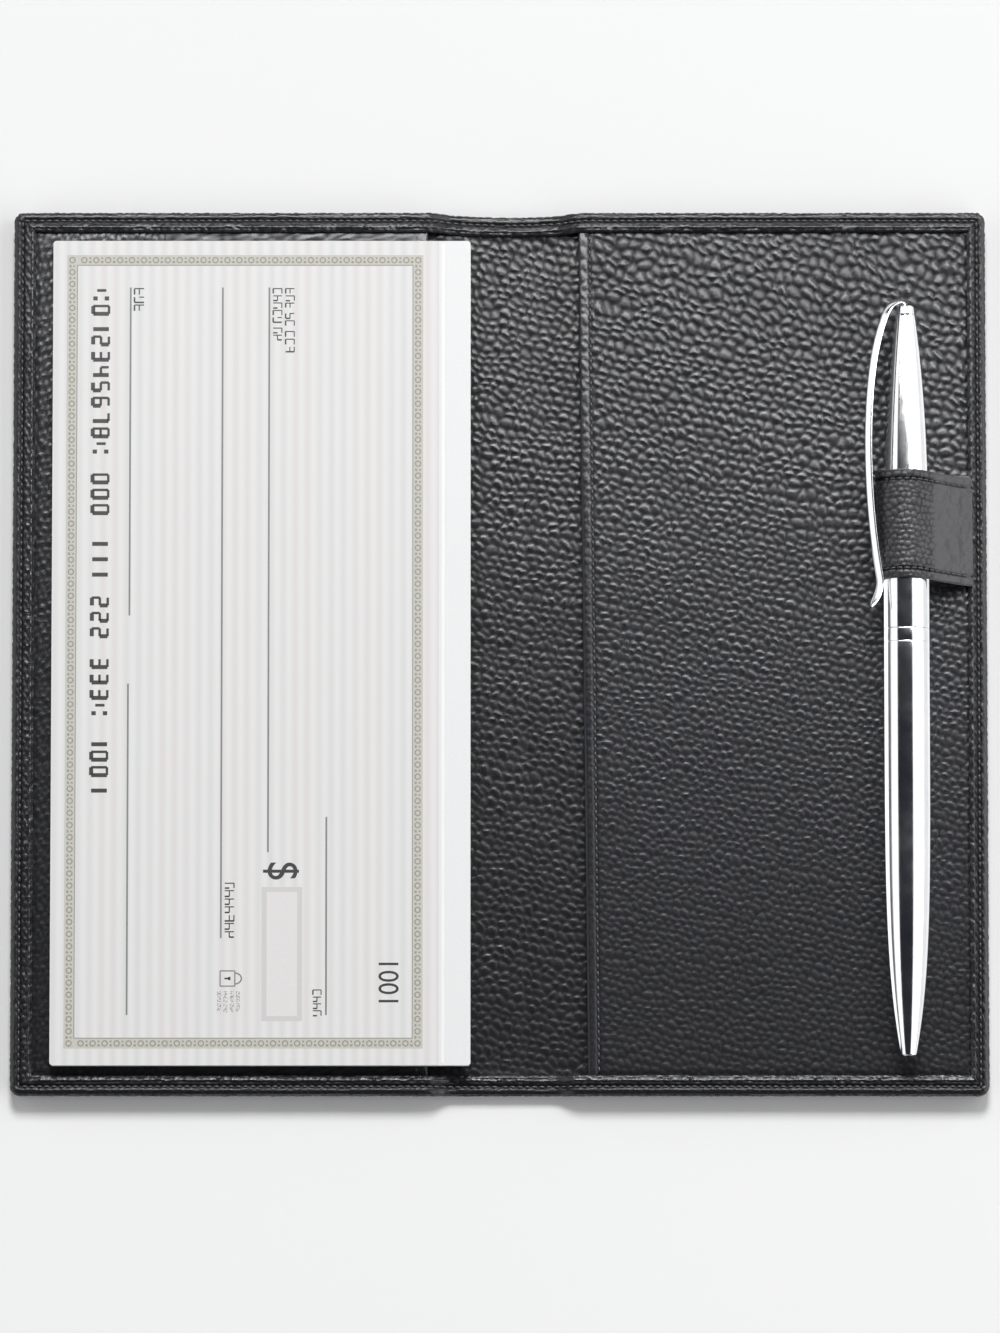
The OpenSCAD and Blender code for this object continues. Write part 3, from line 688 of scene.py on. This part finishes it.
INSIDE_R = 2.9
lower_s = np.concatenate([np.linspace(0.25, 30, 60), np.linspace(31, RING_S - 0.12, 30)])
lower_profile = [(1.06, 3.0), (1.06, 0.2), (1.12, 0.05), (1.25, 0.0), (1.36, 0.06)]
lower_profile += [(lower_r(s), s) for s in lower_s]
lower_profile += [(PEN_R - 0.015, RING_S - 0.03), (PEN_R - 0.05, RING_S), (INSIDE_R, RING_S)]
ring_profile = [(INSIDE_R, RING_S + 0.02), (PEN_R - 0.05, RING_S + 0.01), (PEN_R - 0.015, RING_S + 0.04)]
ring_profile += [(PEN_R, RING_S + 0.12), (PEN_R, RING_END - 0.12), (PEN_R - 0.015, RING_END - 0.04)]
ring_profile += [(PEN_R - 0.05, RING_END - 0.01), (INSIDE_R, RING_END - 0.01)]
upper_profile = [(INSIDE_R, UPPER_S), (PEN_R - 0.05, UPPER_S), (PEN_R - 0.015, UPPER_S + 0.03)]
upper_profile += [(upper_r(s), s) for s in np.linspace(UPPER_S + 0.14, CAP_S - 0.05, 110)]
upper_profile += [(upper_r(CAP_S) - 0.08, CAP_S)]
cap_profile = [(0.6, CAP_S), (upper_r(CAP_S) - 0.1, CAP_S + 0.01), (upper_r(CAP_S) - 0.01, CAP_S + 0.1)]
cap_profile += [(upper_r(s), s) for s in np.linspace(CAP_S + 0.2, PEN_L - 0.35, 8)]
cap_profile += [(1.42, PEN_L - 0.12), (1.25, PEN_L - 0.02), (0.9, PEN_L), (0.02, PEN_L)]
for shell, profile, body, solid in (("lower_barrel_shell", lower_profile, "pen_lower", "pen_lower_barrel"),
                                    ("ring_shell", ring_profile, "pen_lower", "centre_ring"),
                                    ("upper_barrel_shell", upper_profile, "pen_upper", "pen_upper_barrel"),
                                    ("cap_shell", cap_profile, "pen_upper", "pen_end_cap")):
    finish_piece(lathe(shell, profile), body, "chrome", pen_chrome, solid)

# The clip: a strip with a rounded face, bent along one line
CLIP_RISE = math.radians(25)
CLIP_LOW = 87.15
CLIP_LEAN = math.radians(26)
CLIP_BULGE = 8.65
CLIP_TIP_WIDTHS = (0.25, 0.62, 0.84, 0.95)


def curve(p, t):
    return (1 - t) ** 3 * p[0] + 3 * t * (1 - t) ** 2 * p[1] + 3 * t * t * (1 - t) * p[2] + t ** 3 * p[3]


def unit_tangents(line):
    tangent = np.gradient(line, axis=0)
    return tangent / np.linalg.norm(tangent, axis=1)[:, None]


def clip_line():
    """Middle line of the clip: distance from the pen's axis and from the writing end."""
    top = np.array([0, PEN_L])
    shoulder = np.array([4.65, PEN_L - 3.3])
    touch = np.array([5.34, CLIP_LOW])
    line = [np.array([0, PEN_L - 1.15]), top]
    bends = [
        ([top, top + [0, 1.3], shoulder + [-1.45, 4.9], shoulder], 14),
        ([shoulder, np.array([CLIP_BULGE, PEN_L - 13.3]), np.array([CLIP_BULGE, CLIP_LOW + 16]), touch], 60),
        ([touch, touch + [0.05, -1.4], touch + [0.4, -2.8], touch + [1.9, -5]], 12),
    ]
    for handles, count in bends:
        line += [curve(handles, t) for t in np.linspace(0, 1, count + 1)[1:]]
    return np.array(line)


def clip_strip():
    line = clip_line()
    tangent = unit_tangents(line)
    turn = np.linspace(0, 2 * np.pi, 20, endpoint=False)
    c, s = np.cos(turn), np.sin(turn)
    across = 0.8 * np.sign(c) * np.abs(c) ** 0.6
    thick = 0.22 * np.sign(s) * np.abs(s) ** 0.8
    rows = []
    for k, (point, along) in enumerate(zip(line, tangent)):
        left = len(line) - 1 - k
        width = across * (CLIP_TIP_WIDTHS[left] if left < len(CLIP_TIP_WIDTHS) else 1.0)
        lean = thick * math.cos(CLIP_LEAN) - width * math.sin(CLIP_LEAN)
        side = width * math.cos(CLIP_LEAN) + thick * math.sin(CLIP_LEAN)
        r = point[0] - along[1] * lean
        x = PEN_X - math.cos(CLIP_RISE) * r + math.sin(CLIP_RISE) * side
        z = PEN_Z + math.sin(CLIP_RISE) * r + math.cos(CLIP_RISE) * side
        rows.append(np.stack([x, TIP_Y + point[1] + along[0] * lean, z], 1))
    return surface("clip_strip", rows, around=True)


finish_piece(clip_strip(), "pen_clip", "chrome", clip_chrome, "pen_clip")


# The pen loop: one strap round the pen, both ends sewn in under the hem
STRAP_HALF_T = 0.375
STRAP_R = PEN_R + 0.08 + STRAP_HALF_T
STRAP_X = HALF_W - HEM_RIGHT + 0.5
STRAP_Y = (loop_low[1] + loop_high[1]) / 2
STRAP_HALF_W = (loop_high[1] - loop_low[1]) / 2


def strap_line():
    """Middle line of the strap in the plane across the pen, with its outward normals."""
    outer_r = STRAP_R + STRAP_HALF_T
    lean = math.asin(outer_r / math.hypot(HALF_W - 2.2 - PEN_X, outer_r))
    line = [(x, HEM_Z + STRAP_HALF_T) for x in np.linspace(STRAP_X, PEN_X + 1, 26)]
    for a in np.linspace(-math.pi / 2, -1.5 * math.pi - 2 * lean, 70):
        line.append((PEN_X + STRAP_R * math.cos(a), PEN_Z + STRAP_R * math.sin(a)))
    last = np.array(line[-1])
    end = np.array([STRAP_X, HEM_Z + 0.95])
    corner = last + (end - last) * 0.86
    line += [curve([last, last + (corner - last) * 0.5, corner, end], t) for t in np.linspace(0, 1, 40)[1:]]
    line = np.array(line)
    tangent = unit_tangents(line)
    return line, np.stack([-tangent[:, 1], tangent[:, 0]], 1)


def strap():
    """The strap; gives back a line just outside its middle line, and the skew of its sewn-in side."""
    line, normal = strap_line()
    lengths = walked(line)
    half = STRAP_HALF_W
    across = [(y, STRAP_HALF_T) for y in np.linspace(-half + 0.3, half - 0.3, 90)]
    for a in np.radians(np.linspace(80, -80, 7)):
        across.append((half - 0.35 + 0.35 * math.cos(a), STRAP_HALF_T * math.sin(a)))
    across += [(y, -STRAP_HALF_T) for y in np.linspace(half - 0.4, -half + 0.4, 8)]
    for a in np.radians(np.linspace(-100, -260, 7)):
        across.append((-half + 0.35 + 0.35 * math.cos(a), STRAP_HALF_T * math.sin(a)))
    across = np.array(across)
    s, y = np.meshgrid(lengths, across[:, 0], indexing="ij")
    out = np.broadcast_to(across[:, 1], s.shape)
    outer = out > 0.36
    upper = lengths > lengths[-1] * 0.5
    slope = (smooth(line[:, 0], PEN_X + 4.0, PEN_X + 6.5) * upper)[:, None]
    skew = -0.7 * smooth(line[:, 0], PEN_X, HALF_W - HEM_RIGHT) * upper
    grain = pebbles(s / 1.15 + 9, y / 1.05, 51.0)
    groove = hump(np.abs(y), half - STRAP_SEAM, 0.27)
    beads = 0.5 + 0.5 * np.cos(2 * np.pi * s / STITCH)
    relief = -0.17 * (1 - 0.72 * slope) * (1 - grain) - 0.36 * groove * (0.6 + 0.4 * beads)
    crumple = 0.12 * noise(s / 0.8, y / 1.1, 55.0) + 0.16 * noise(s / 1.9, y / 2.6, 56.0) - 0.14
    relief = relief + slope * crumple
    out = out + np.where(outer, relief, 0)
    x = line[:, :1] + normal[:, :1] * out
    z = line[:, 1:] + normal[:, 1:] * out
    x = x - 0.4 * (1 + y / half) * smooth(PEN_X - 1.5 - x, 0, 3)
    # Painted sheen: the flat slope to the hem gets a raised value with a random wander, lighter as well as
    # smoother. Painted shade darkens the stitched grooves.
    painted_lighting = (1.2 + 0.7 * (noise(s / 0.8, y / 1.3, 57.0) - 0.5)) * slope
    shade = np.where(outer, grain * (1 - 0.75 * slope) + painted_lighting - 0.9 * groove, 0.6)
    points = np.stack([x, STRAP_Y + y + skew[:, None], z], -1)
    obj = surface("pen_strap", points, around=True, grain=shade)
    finish_piece(obj, "right_cover", "panel", loop_leather, "pen_loop")
    return line + normal * 0.2, skew


strap_top, strap_skew = strap()


# Seam strips: leather between the lining and the panel, sewn in along three edges
def seam_strip(side, start):
    low, high = LINING_Z + 0.02, panel_low[2] - 0.02
    outer_x, outer_y = HALF_W - 1.15, INNER_H - 0.15
    ends = np.linspace(0, 1, 90)
    ups = np.linspace(0, 1, 180)[1:-1]
    rows = []
    section = ((SEAM_W, low), (SEAM_W - 0.1, (low + high) / 2), (SEAM_W, high), (SEAM_W / 2, high))
    for inset, z in (*section, (0, high), (0, low)):
        fx, fy = outer_x - inset, outer_y - inset
        x = np.concatenate([start + (fx - start) * ends, fx + 0 * ups, start + (fx - start) * ends[::-1]])
        y = np.concatenate([-fy + 0 * ends, fy * (2 * ups - 1), fy + 0 * ends])
        wave = 0.06 * (noise(x * 1.3 + inset, y * 1.3, 61.0) - 0.5)
        top = np.where(y > outer_y - SEAM_W - 0.2, dip(x), 0)
        rows.append(np.stack([x * side + wave, y - top + wave, z + 0 * x], 1))
    points = np.transpose(rows, (1, 0, 2))
    grain = np.full(points.shape[:2], 0.6)
    return surface(f"{SIDE[side]}_seam_skin", points, around=True, turned=side < 0, grain=grain)


right_start = MOUTH_TOP + MOUTH_SLANT + 1.2
finish_piece(seam_strip(1, right_start), "right_cover", "lining", lining_leather, "right_seam_strip")
finish_piece(seam_strip(-1, LEFT_MOUTH + 1.2), "left_cover", "lining", lining_leather, "left_seam_strip")

# Threads of the pen loop, set along its two stitched grooves
for letter, edge in (("a", -1), ("b", 1)):
    thread_y = STRAP_Y + edge * (STRAP_HALF_W - STRAP_SEAM) + strap_skew
    thread_line = np.stack([strap_top[:, 0], thread_y, strap_top[:, 1]], 1)[20:]
    beads_along("loop_thread_" + letter, thread_line, "right_cover")


# The checks: a stack of leaves with a stub, and the top check on it
PERF_X = sheet_high[0]
PAGE_R = 0.55
SHEET_Z = sheet_low[2]
SHEET_RISE = 0.12
CURL = 0.085


def leaf_grid(x0, x1, low_y, high_y, gap, columns, round_right=True, round_left=True):
    """Places in a leaf with rounded corners, in rows about a gap apart."""
    ends = PAGE_R * (1 - np.cos(np.linspace(0, math.pi / 2, 7)))
    middle = np.linspace(low_y + PAGE_R, high_y - PAGE_R, int((high_y - low_y) / gap))
    y = np.concatenate([low_y + ends[:-1], middle, high_y - ends[-2::-1]])
    near = np.minimum(y - y[0], y[-1] - y)
    cut = PAGE_R - np.sqrt(np.clip(PAGE_R ** 2 - np.clip(PAGE_R - near, 0, None) ** 2, 0, None))
    left = x0 + cut * round_left
    right = x1 - cut * round_right
    x = left[:, None] + (right - left)[:, None] * np.linspace(0, 1, columns)
    return x, np.broadcast_to(y[:, None], x.shape)


def border(grid):
    """The places round a grid's edge, in order."""
    return np.concatenate([grid[0, :-1], grid[:-1, -1], grid[-1, :0:-1], grid[:0:-1, 0]])


def sheet_height(x, y):
    """Height of the top check's face: a little wavy, and nipped in at the perforation it turns on."""
    away = PERF_X - x
    wave = (0.08 * noise(x / 28, y / 40, 71.0) + 0.03 * noise(x / 7, y / 9, 72.0)) * smooth(away, 3, 12)
    return SHEET_Z + np.minimum(SHEET_RISE + wave, 0.01 + CURL * away)


def paper(name, x, y, z, material, body="pad", turned=False, replaced=()):
    """A sheet of paper on a grid."""
    obj = surface(name, np.stack([x, y, np.broadcast_to(z, x.shape)], -1), turned=turned)
    return finish_piece(obj, body, "paper", material, *replaced)


def paper_wall(name, rows, material, body="pad", turned=True):
    """A closed wall of paper edges, from rows of points."""
    return finish_piece(surface(name, rows, True, turned, False), body, "paper", material)


def page_stack():
    x, y = leaf_grid(pages_low[0], pages_high[0], pages_low[1], pages_high[1], 1.1, 60)
    x, y = border(x), border(y)
    across = x - (pages_low[0] + pages_high[0]) / 2
    rows = []
    for k, z in enumerate(np.linspace(pages_low[2], SHEET_Z, 25)):
        inset = 0.05 * (k % 2) + 0.05 * chance(k, 3.0) + 0.04 * noise(y / 5 + k, x / 5, 73.0)
        rows.append(np.stack([x - inset * np.sign(across) * (np.abs(across) > 38),
                              y - inset * np.sign(y) * (np.abs(y) > 75.5), z + 0 * x], 1))
    paper_wall("page_stack", rows, page_edges, turned=False)


def stub():
    """The bound strip beside the perforation, with a faint pressed mark."""
    x, y = leaf_grid(PERF_X + 0.03, pages_high[0] - 0.03, pages_low[1], pages_high[1], 0.55, 26, True, False)
    away = x - PERF_X
    z = SHEET_Z + np.minimum(SHEET_RISE + 0.02 * (noise(x / 5, y / 11, 74.0) - 0.5), CURL * away - 0.004)
    tick_y = 15.8 + 2.1 * np.abs(away - 1.3) * np.where(away > 1.3, 1, 0.8)
    z = z + 0.1 * hump(y, tick_y, 0.4) * smooth(away, 0.4, 2.4) * smooth(3.6 - away, 0, 0.5)
    paper("stub_top", x, y, z, stub_paper, replaced=("check_pad",))
    rim = np.stack([border(x), border(y), border(z)], 1)
    paper_wall("stub_edge", [rim, rim * [1, 1, 0] + [0, 0, SHEET_Z - 0.02]], stub_paper)


# A raised fold along the perforation, in whiter paper as a painted highlight.
def perforation_lip():
    y = np.linspace(pages_low[1] + 0.5, pages_high[1] - 0.5, 180)
    turn = np.linspace(0, math.pi, 7)[:, None]
    x = PERF_X + 0.75 - 0.32 * np.cos(turn) + 0 * y
    z = SHEET_Z - 0.02 + CURL * (x - PERF_X) + 0.045 * np.sin(turn) + 0.01 * np.cos(2 * np.pi * y / 0.9)
    paper("perforation_lip", x, y + 0 * x, z, painted_highlight_lip_paper)


page_stack()
top_x, top_y = leaf_grid(pages_low[0] + 0.06, pages_high[0] - 0.06, pages_low[1], pages_high[1], 1.1, 40)
paper("top_page", top_x, top_y, SHEET_Z - 0.01, check_face)
paper("last_page", top_x, top_y, pages_low[2], stub_paper, turned=True)
stub()
perforation_lip()
sheet_x, sheet_y = leaf_grid(sheet_low[0], PERF_X, sheet_low[1], sheet_high[1], 0.9, 90, round_right=False)
face_z = sheet_height(sheet_x, sheet_y)
under_z = SHEET_Z + 0.003 + 0.9 * np.clip(face_z - SHEET_Z - SHEET_RISE, 0, None)
paper("top_check_face", sheet_x, sheet_y, face_z, check_face, "top_check", replaced=("top_check",))
paper("top_check_back", sheet_x, sheet_y, under_z, check_face, "top_check", True)
sheet_rim = [np.stack([border(sheet_x), border(sheet_y), border(z)], 1) for z in (face_z, under_z)]
paper_wall("top_check_edge", sheet_rim, page_edges, "top_check")


# Print on the checks, as thin raised ink, placed in millimetres from the check's far lower corner
def next_height(x, y):
    """Height of the check under the top one."""
    return np.full(np.shape(x), SHEET_Z - 0.01)


class Page:
    """A printed check: its body, its face's height, and the share of the ink's full height that it takes."""

    def __init__(self, prefix, body, face, share):
        self.prefix = prefix
        self.body = body
        self.face = face
        self.share = share

    def place(self, u, v, lift):
        x, y = sheet_low[0] + u, sheet_low[1] + v
        return x, y, self.face(x, y) + np.where(lift > 0, lift * self.share, lift)


class Ink:
    """Marks of one colour on one page."""

    def __init__(self, page):
        self.page = page
        self.points = []
        self.faces = []

    def quad(self, a, b, c, d, height):
        """A four-sided mark; its corners go round in order."""
        corners = np.array([a, b, c, d], float)
        longest = max(np.linalg.norm(corners[1] - corners[0]), np.linalg.norm(corners[2] - corners[3]))
        count = max(1, int(longest / 3))
        start = len(self.points)
        for t in np.linspace(0, 1, count + 1):
            near = corners[0] * (1 - t) + corners[1] * t
            far = corners[3] * (1 - t) + corners[2] * t
            for lift in (height, -0.03 * self.page.share):
                for mark in (near, far):
                    self.points.append(self.page.place(np.array([mark[0]]), np.array([mark[1]]), lift))
        for k in range(count):
            i, j = start + 4 * k, start + 4 * k + 4
            self.faces += [[i, j, j + 1, i + 1], [i, i + 2, j + 2, j], [i + 1, j + 1, j + 3, i + 3]]

    def bar(self, u0, v0, u1, v1, height=0.02):
        """A straight bar between two corners."""
        if abs(v1 - v0) > abs(u1 - u0):
            self.quad((u1, v0), (u1, v1), (u0, v1), (u0, v0), height)
        else:
            self.quad((u0, v0), (u1, v0), (u1, v1), (u0, v1), height)

    def frame(self, u0, v0, u1, v1, width, height=0.02):
        """Four bars inside a rectangle."""
        self.bar(u0, v0, u1, v0 + width, height)
        self.bar(u0, v1 - width, u1, v1, height)
        self.bar(u0, v0 + width, u0 + width, v1 - width, height)
        self.bar(u1 - width, v0 + width, u1, v1 - width, height)

    def stroke(self, a, b, width, height=0.02):
        """A line of the given width between two places."""
        a, b = np.array(a, float), np.array(b, float)
        along = (b - a) / max(np.linalg.norm(b - a), 1e-9)
        across = np.array([-along[1], along[0]]) * width / 2
        self.quad(a - across, b - across, b + across, a + across, height)

    def line(self, places, width):
        """Strokes from place to place."""
        for a, b in zip(places, places[1:]):
            self.stroke(a, b, width)

    def make(self, name, material):
        obj = build(self.page.prefix + name, self.points, self.faces, False)
        return finish_piece(obj, self.page.body, "paper", material)


# Strokes of each number on a seven-bar grid, of letter-like signs, and where each bar runs
SEGMENTS = {"0": "abcdef", "1": "bc", "2": "abged", "3": "abgcd", "4": "fgbc", "5": "afgcd", "6": "afgedc",
            "7": "abc", "8": "abcdefg", "9": "abcdfg"}
SHAPES = ("efgb", "efad", "abcg", "fgcd", "efdg", "aefc", "bcdf", "efgc", "adeb")
PLACES = {"a": (0, 1, 1, 1), "b": (1, 1, 1, 0.5), "c": (1, 0.5, 1, 0), "d": (0, 0, 1, 0), "e": (0, 0.5, 0, 0),
          "f": (0, 1, 0, 0.5), "g": (0, 0.5, 1, 0.5)}


def segments(ink, names, u, v, width, height, heavy, thick):
    """Strokes of one sign that reads towards the check's lower end, with its foot at u and its left at v."""
    for name in names:
        x0, y0, x1, y1 = PLACES[name]
        line = thick if name in "bcd" else heavy
        ink.stroke((u + y0 * height, v - x0 * width), (u + y1 * height, v - x1 * width), line)


def writing(ink, words, u, v, size, seed):
    """Stand-in writing: rows of letter-like strokes that say nothing."""
    place = v
    for w, letters in enumerate(words):
        for k in range(letters):
            width = size * (0.5 + 0.14 * float(chance(k, w, seed)))
            picks = SHAPES[int(float(chance(k * 7.0, w, seed + 1)) * len(SHAPES))]
            segments(ink, picks, u, place, width, size, size * 0.12, size * 0.17)
            place -= width + size * 0.28
        place -= size * 0.4


def number_row(ink, text):
    """The row of bank numbers, with a three-part sign for each upright stroke in the text."""
    place = 143.4
    for sign in text:
        if sign == "|":
            ink.bar(8.1, place - 0.5, 9.8, place)
            ink.bar(7.4, place - 2.1, 8.2, place - 1.35)
            ink.bar(9.5, place - 2.1, 10.3, place - 1.35)
        elif sign != " ":
            segments(ink, SEGMENTS[sign], 7.4, place - 0.3, 1.45, 2.9, 0.46, 0.74)
        place -= 2.85


def padlock(black, grey):
    """A body with a keyhole under a round shackle."""
    grey.line(((31.2, 14.5), (33.9, 14.5), (33.9, 17.3), (31.2, 17.3), (31.2, 14.5)), 0.22)
    black.bar(32.0, 15.75, 32.9, 16.05)
    black.bar(32.7, 15.6, 33.1, 16.2)
    bow = [(33.9 + 1.2 * math.sin(a), 15.9 - math.cos(a)) for a in np.linspace(0, math.pi, 13)]
    grey.line(bow, 0.26)


def glyphs(page, name, text, u, v, height, stretch):
    """Plain numbers or signs in the built-in font, reading towards the check's lower end."""
    curve_data = bpy.data.curves.new(page.prefix + name, "FONT")
    curve_data.body = text
    curve_data.extrude = 0.01
    holder = bpy.data.objects.new(page.prefix + name, curve_data)
    link(holder)
    bpy.context.view_layer.update()
    mesh = bpy.data.meshes.new_from_object(holder.evaluated_get(bpy.context.evaluated_depsgraph_get()))
    bpy.data.objects.remove(holder)
    places = np.zeros(len(mesh.vertices) * 3)
    mesh.vertices.foreach_get("co", places)
    places = places.reshape(-1, 3)
    places[:, :2] -= places[:, :2].min(axis=0)
    scale = height / places[:, 1].max()
    lift = np.where(places[:, 2] > 0, 0.02, -0.03 * page.share)
    x, y, z = page.place(u + places[:, 1] * scale, v - places[:, 0] * scale * stretch, lift)
    mesh.vertices.foreach_set("co", (np.stack([x, y, z], 1) * MM).ravel())
    mesh.update()
    obj = bpy.data.objects.new(page.prefix + name, mesh)
    link(obj)
    obj.data.materials.clear()
    return finish_piece(obj, page.body, "paper", ink_black)


# Border: a tinted band with a row of rings and small triangles
BAND = (2.55, 3.05, 68.3, 149.75)
BAND_W = 1.9


def ring(ink, centre):
    turn = np.linspace(0, 2 * math.pi, 11)
    ink.line([(centre[0] + 0.5 * math.cos(a), centre[1] + 0.5 * math.sin(a)) for a in turn], 0.26)


def pair_of_marks(ink, centre, onward):
    """Two small marks halfway to the next ring."""
    middle = np.array(centre) + 1.1 * np.array(onward)
    wing = 0.55 * np.array([onward[1], onward[0]])
    ink.stroke(middle - wing, middle - wing * 0.3, 0.5)
    ink.stroke(middle + wing * 0.3, middle + wing, 0.3)


def border_print(band, olive):
    u0, v0, u1, v1 = BAND
    band.bar(u0, v0, u0 + BAND_W, v1, 0.008)
    band.bar(u1 - BAND_W, v0, u1, v1, 0.008)
    band.bar(u0 + BAND_W, v0, u1 - BAND_W, v0 + BAND_W, 0.008)
    band.bar(u0 + BAND_W, v1 - BAND_W, u1 - BAND_W, v1, 0.008)
    for u in (u0 + BAND_W, u1 - BAND_W):
        olive.bar(u - 0.09, v0 + BAND_W, u + 0.09, v1 - BAND_W, 0.022)
    for v in (v0 + BAND_W, v1 - BAND_W):
        olive.bar(u0 + BAND_W, v - 0.09, u1 - BAND_W, v + 0.09, 0.022)
    low, high = v0 + BAND_W / 2, v1 - BAND_W / 2
    sides = np.linspace(low, high, 66)
    for k, v in enumerate(sides):
        for u in (u0 + BAND_W / 2, u1 - BAND_W / 2):
            ring(olive, (u, v))
            if k < len(sides) - 1:
                pair_of_marks(olive, (u, v), (0, 1))
    for u in np.linspace(u0 + BAND_W / 2, u1 - BAND_W / 2, 30)[1:-1]:
        for v in (low, high):
            ring(olive, (u, v))
            pair_of_marks(olive, (u, v), (1, 0))


AMOUNT_BOX = (38.8, 8.1, 46.2, 32.7)
AMOUNT_RIM = 0.9
RULES = ((14.3, 143.7, 82.8), (14.1, 70.2, 9.2), (31.3, 143.7, 23.3), (39.9, 143.7, 39.1), (50.6, 45.6, 9.2))
WRITTEN = (((3,), 15.0, 143.5, 1.75), ((3, 2, 3), 42.9, 143.5, 1.6), ((5, 2), 40.6, 143.5, 1.6),
           ((7,), 32.0, 33.4, 1.7), ((4,), 48.2, 13.8, 1.5))
INKS = {"black": ink_black, "lines": ink_grey, "border_rings": ink_olive, "border_band": band_tint,
        "box": box_tint, "box_inside": box_fill}


def print_check(page, number):
    inks = [Ink(page) for _ in INKS]
    black, grey, olive, band, box, box_inside = inks
    for u, v0, v1 in RULES:
        grey.bar(u - 0.16, v1, u + 0.16, v0)
    for k, (words, u, v, size) in enumerate(WRITTEN):
        writing(black, words, u, v, size, 81.0 + k)
    for k in range(4):
        writing(grey, (4, 3), 34.2 - 1.15 * k, 13.5, 0.6, 86.0 + k)
    number_row(black, "|012345678| 000 111 222 333| " + number)
    padlock(black, grey)
    u0, v0, u1, v1 = AMOUNT_BOX
    box.frame(u0, v0, u1, v1, AMOUNT_RIM)
    box_inside.bar(u0 + AMOUNT_RIM, v0 + AMOUNT_RIM, u1 - AMOUNT_RIM, v1 - AMOUNT_RIM, 0.012)
    border_print(band, olive)
    glyphs(page, "print_number", number, 60.2, 18.8, 3.7, 0.86)
    glyphs(page, "print_sign", "$", 39.0, 37.2, 6.6, 0.85)
    for ink, (name, material) in zip(inks, INKS.items()):
        ink.make("print_" + name, material)


print_check(Page("", "top_check", sheet_height, 1.0), "1001")
print_check(Page("next_", "pad", next_height, 0.3), "1002")

# Materials of the CAD pieces that stay as they are
kept = {
    "right_board": grey_board, "left_board": grey_board, "pad_back_card": pale_card, "cam_sleeve": brass,
    "guide_tube": brass, "refill_carrier": white_plastic, "ink_tube": brass, "refill_nose": brass,
    "refill_ball": steel,
}
for name, material in kept.items():
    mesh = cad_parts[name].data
    mesh.materials.clear()
    mesh.materials.append(material)

# Floor
FLOOR = 4
FLOOR_Z = -0.00003
floor_material, floor_tree, floor_shader, floor_coordinates = new_material("floor_white")
floor_noise = noise_texture(floor_tree, floor_coordinates, 3.0, 3.0, 0.5)
floor_colour = ramp(floor_tree, floor_noise, [(0.3, (0.94, 0.94, 0.94)), (0.7, (0.955, 0.955, 0.955))])
feed(floor_tree, floor_shader, Base_Color=floor_colour, Roughness=0.9, Specular_IOR_Level=0.1)
floor_mesh = bpy.data.meshes.new("floor")
floor_corners = [(x * FLOOR, y * FLOOR, FLOOR_Z) for x, y in ((-1, -1), (1, -1), (1, 1), (-1, 1))]
floor_mesh.from_pydata(floor_corners, [], [(0, 1, 2, 3)])
floor_mesh.materials.append(floor_material)
floor = bpy.data.objects.new("floor", floor_mesh)
link(floor)


# Lights
def area_light(name, place, towards, width, length, strength, in_gloss_only=False):
    """A soft light; strength is how bright its face is, where a white floor in full light is 1."""
    data = bpy.data.lights.new(name, "AREA")
    data.shape = "RECTANGLE"
    data.size = width
    data.size_y = length
    data.energy = strength * math.pi * width * length
    light = bpy.data.objects.new(name, data)
    light.location = place
    light.rotation_euler = (Vector(place) - Vector(towards)).to_track_quat("Z", "Y").to_euler()
    light.visible_camera = False
    light.visible_diffuse = not in_gloss_only
    link(light)


area_light("key_light", (0, 2.7, 2.86), (0, 0, 0), 1.08, 1.08, 30.8)
area_light("sheen_strip", (0.03, 0.18, 0.31), (0, 0, 0), 0.5, 0.09, 15.5, in_gloss_only=True)
area_light("right_card", (1.07, 0, 0.62), (0, 0, 0.02), 3.0, 1.5, 1.3)
area_light("right_low_card", (1.0, 0, 0.27), (0, 0, 0.01), 3.0, 0.34, 2.2, in_gloss_only=True)
area_light("left_card", (-1.25, 0, 0.47), (0, 0, 0.02), 3.0, 0.98, 1.25)
for name, x, y, width, length, strength in (("pen_bounce_left", 0.0640, -0.028, 0.012, 0.092, 1.3),
                                            ("pen_bounce_right", 0.0835, 0, 0.009, 0.17, 1.0)):
    area_light(name, (x, y, 0.0046), (x, y, 1), width, length, strength, in_gloss_only=True)
world = bpy.data.worlds.new("world")
bpy.context.scene.world = world
world.use_nodes = True
world.node_tree.nodes["Background"].inputs[0].default_value = (0.019, 0.021, 0.027, 1)
world.node_tree.nodes["Background"].inputs[1].default_value = 1.0
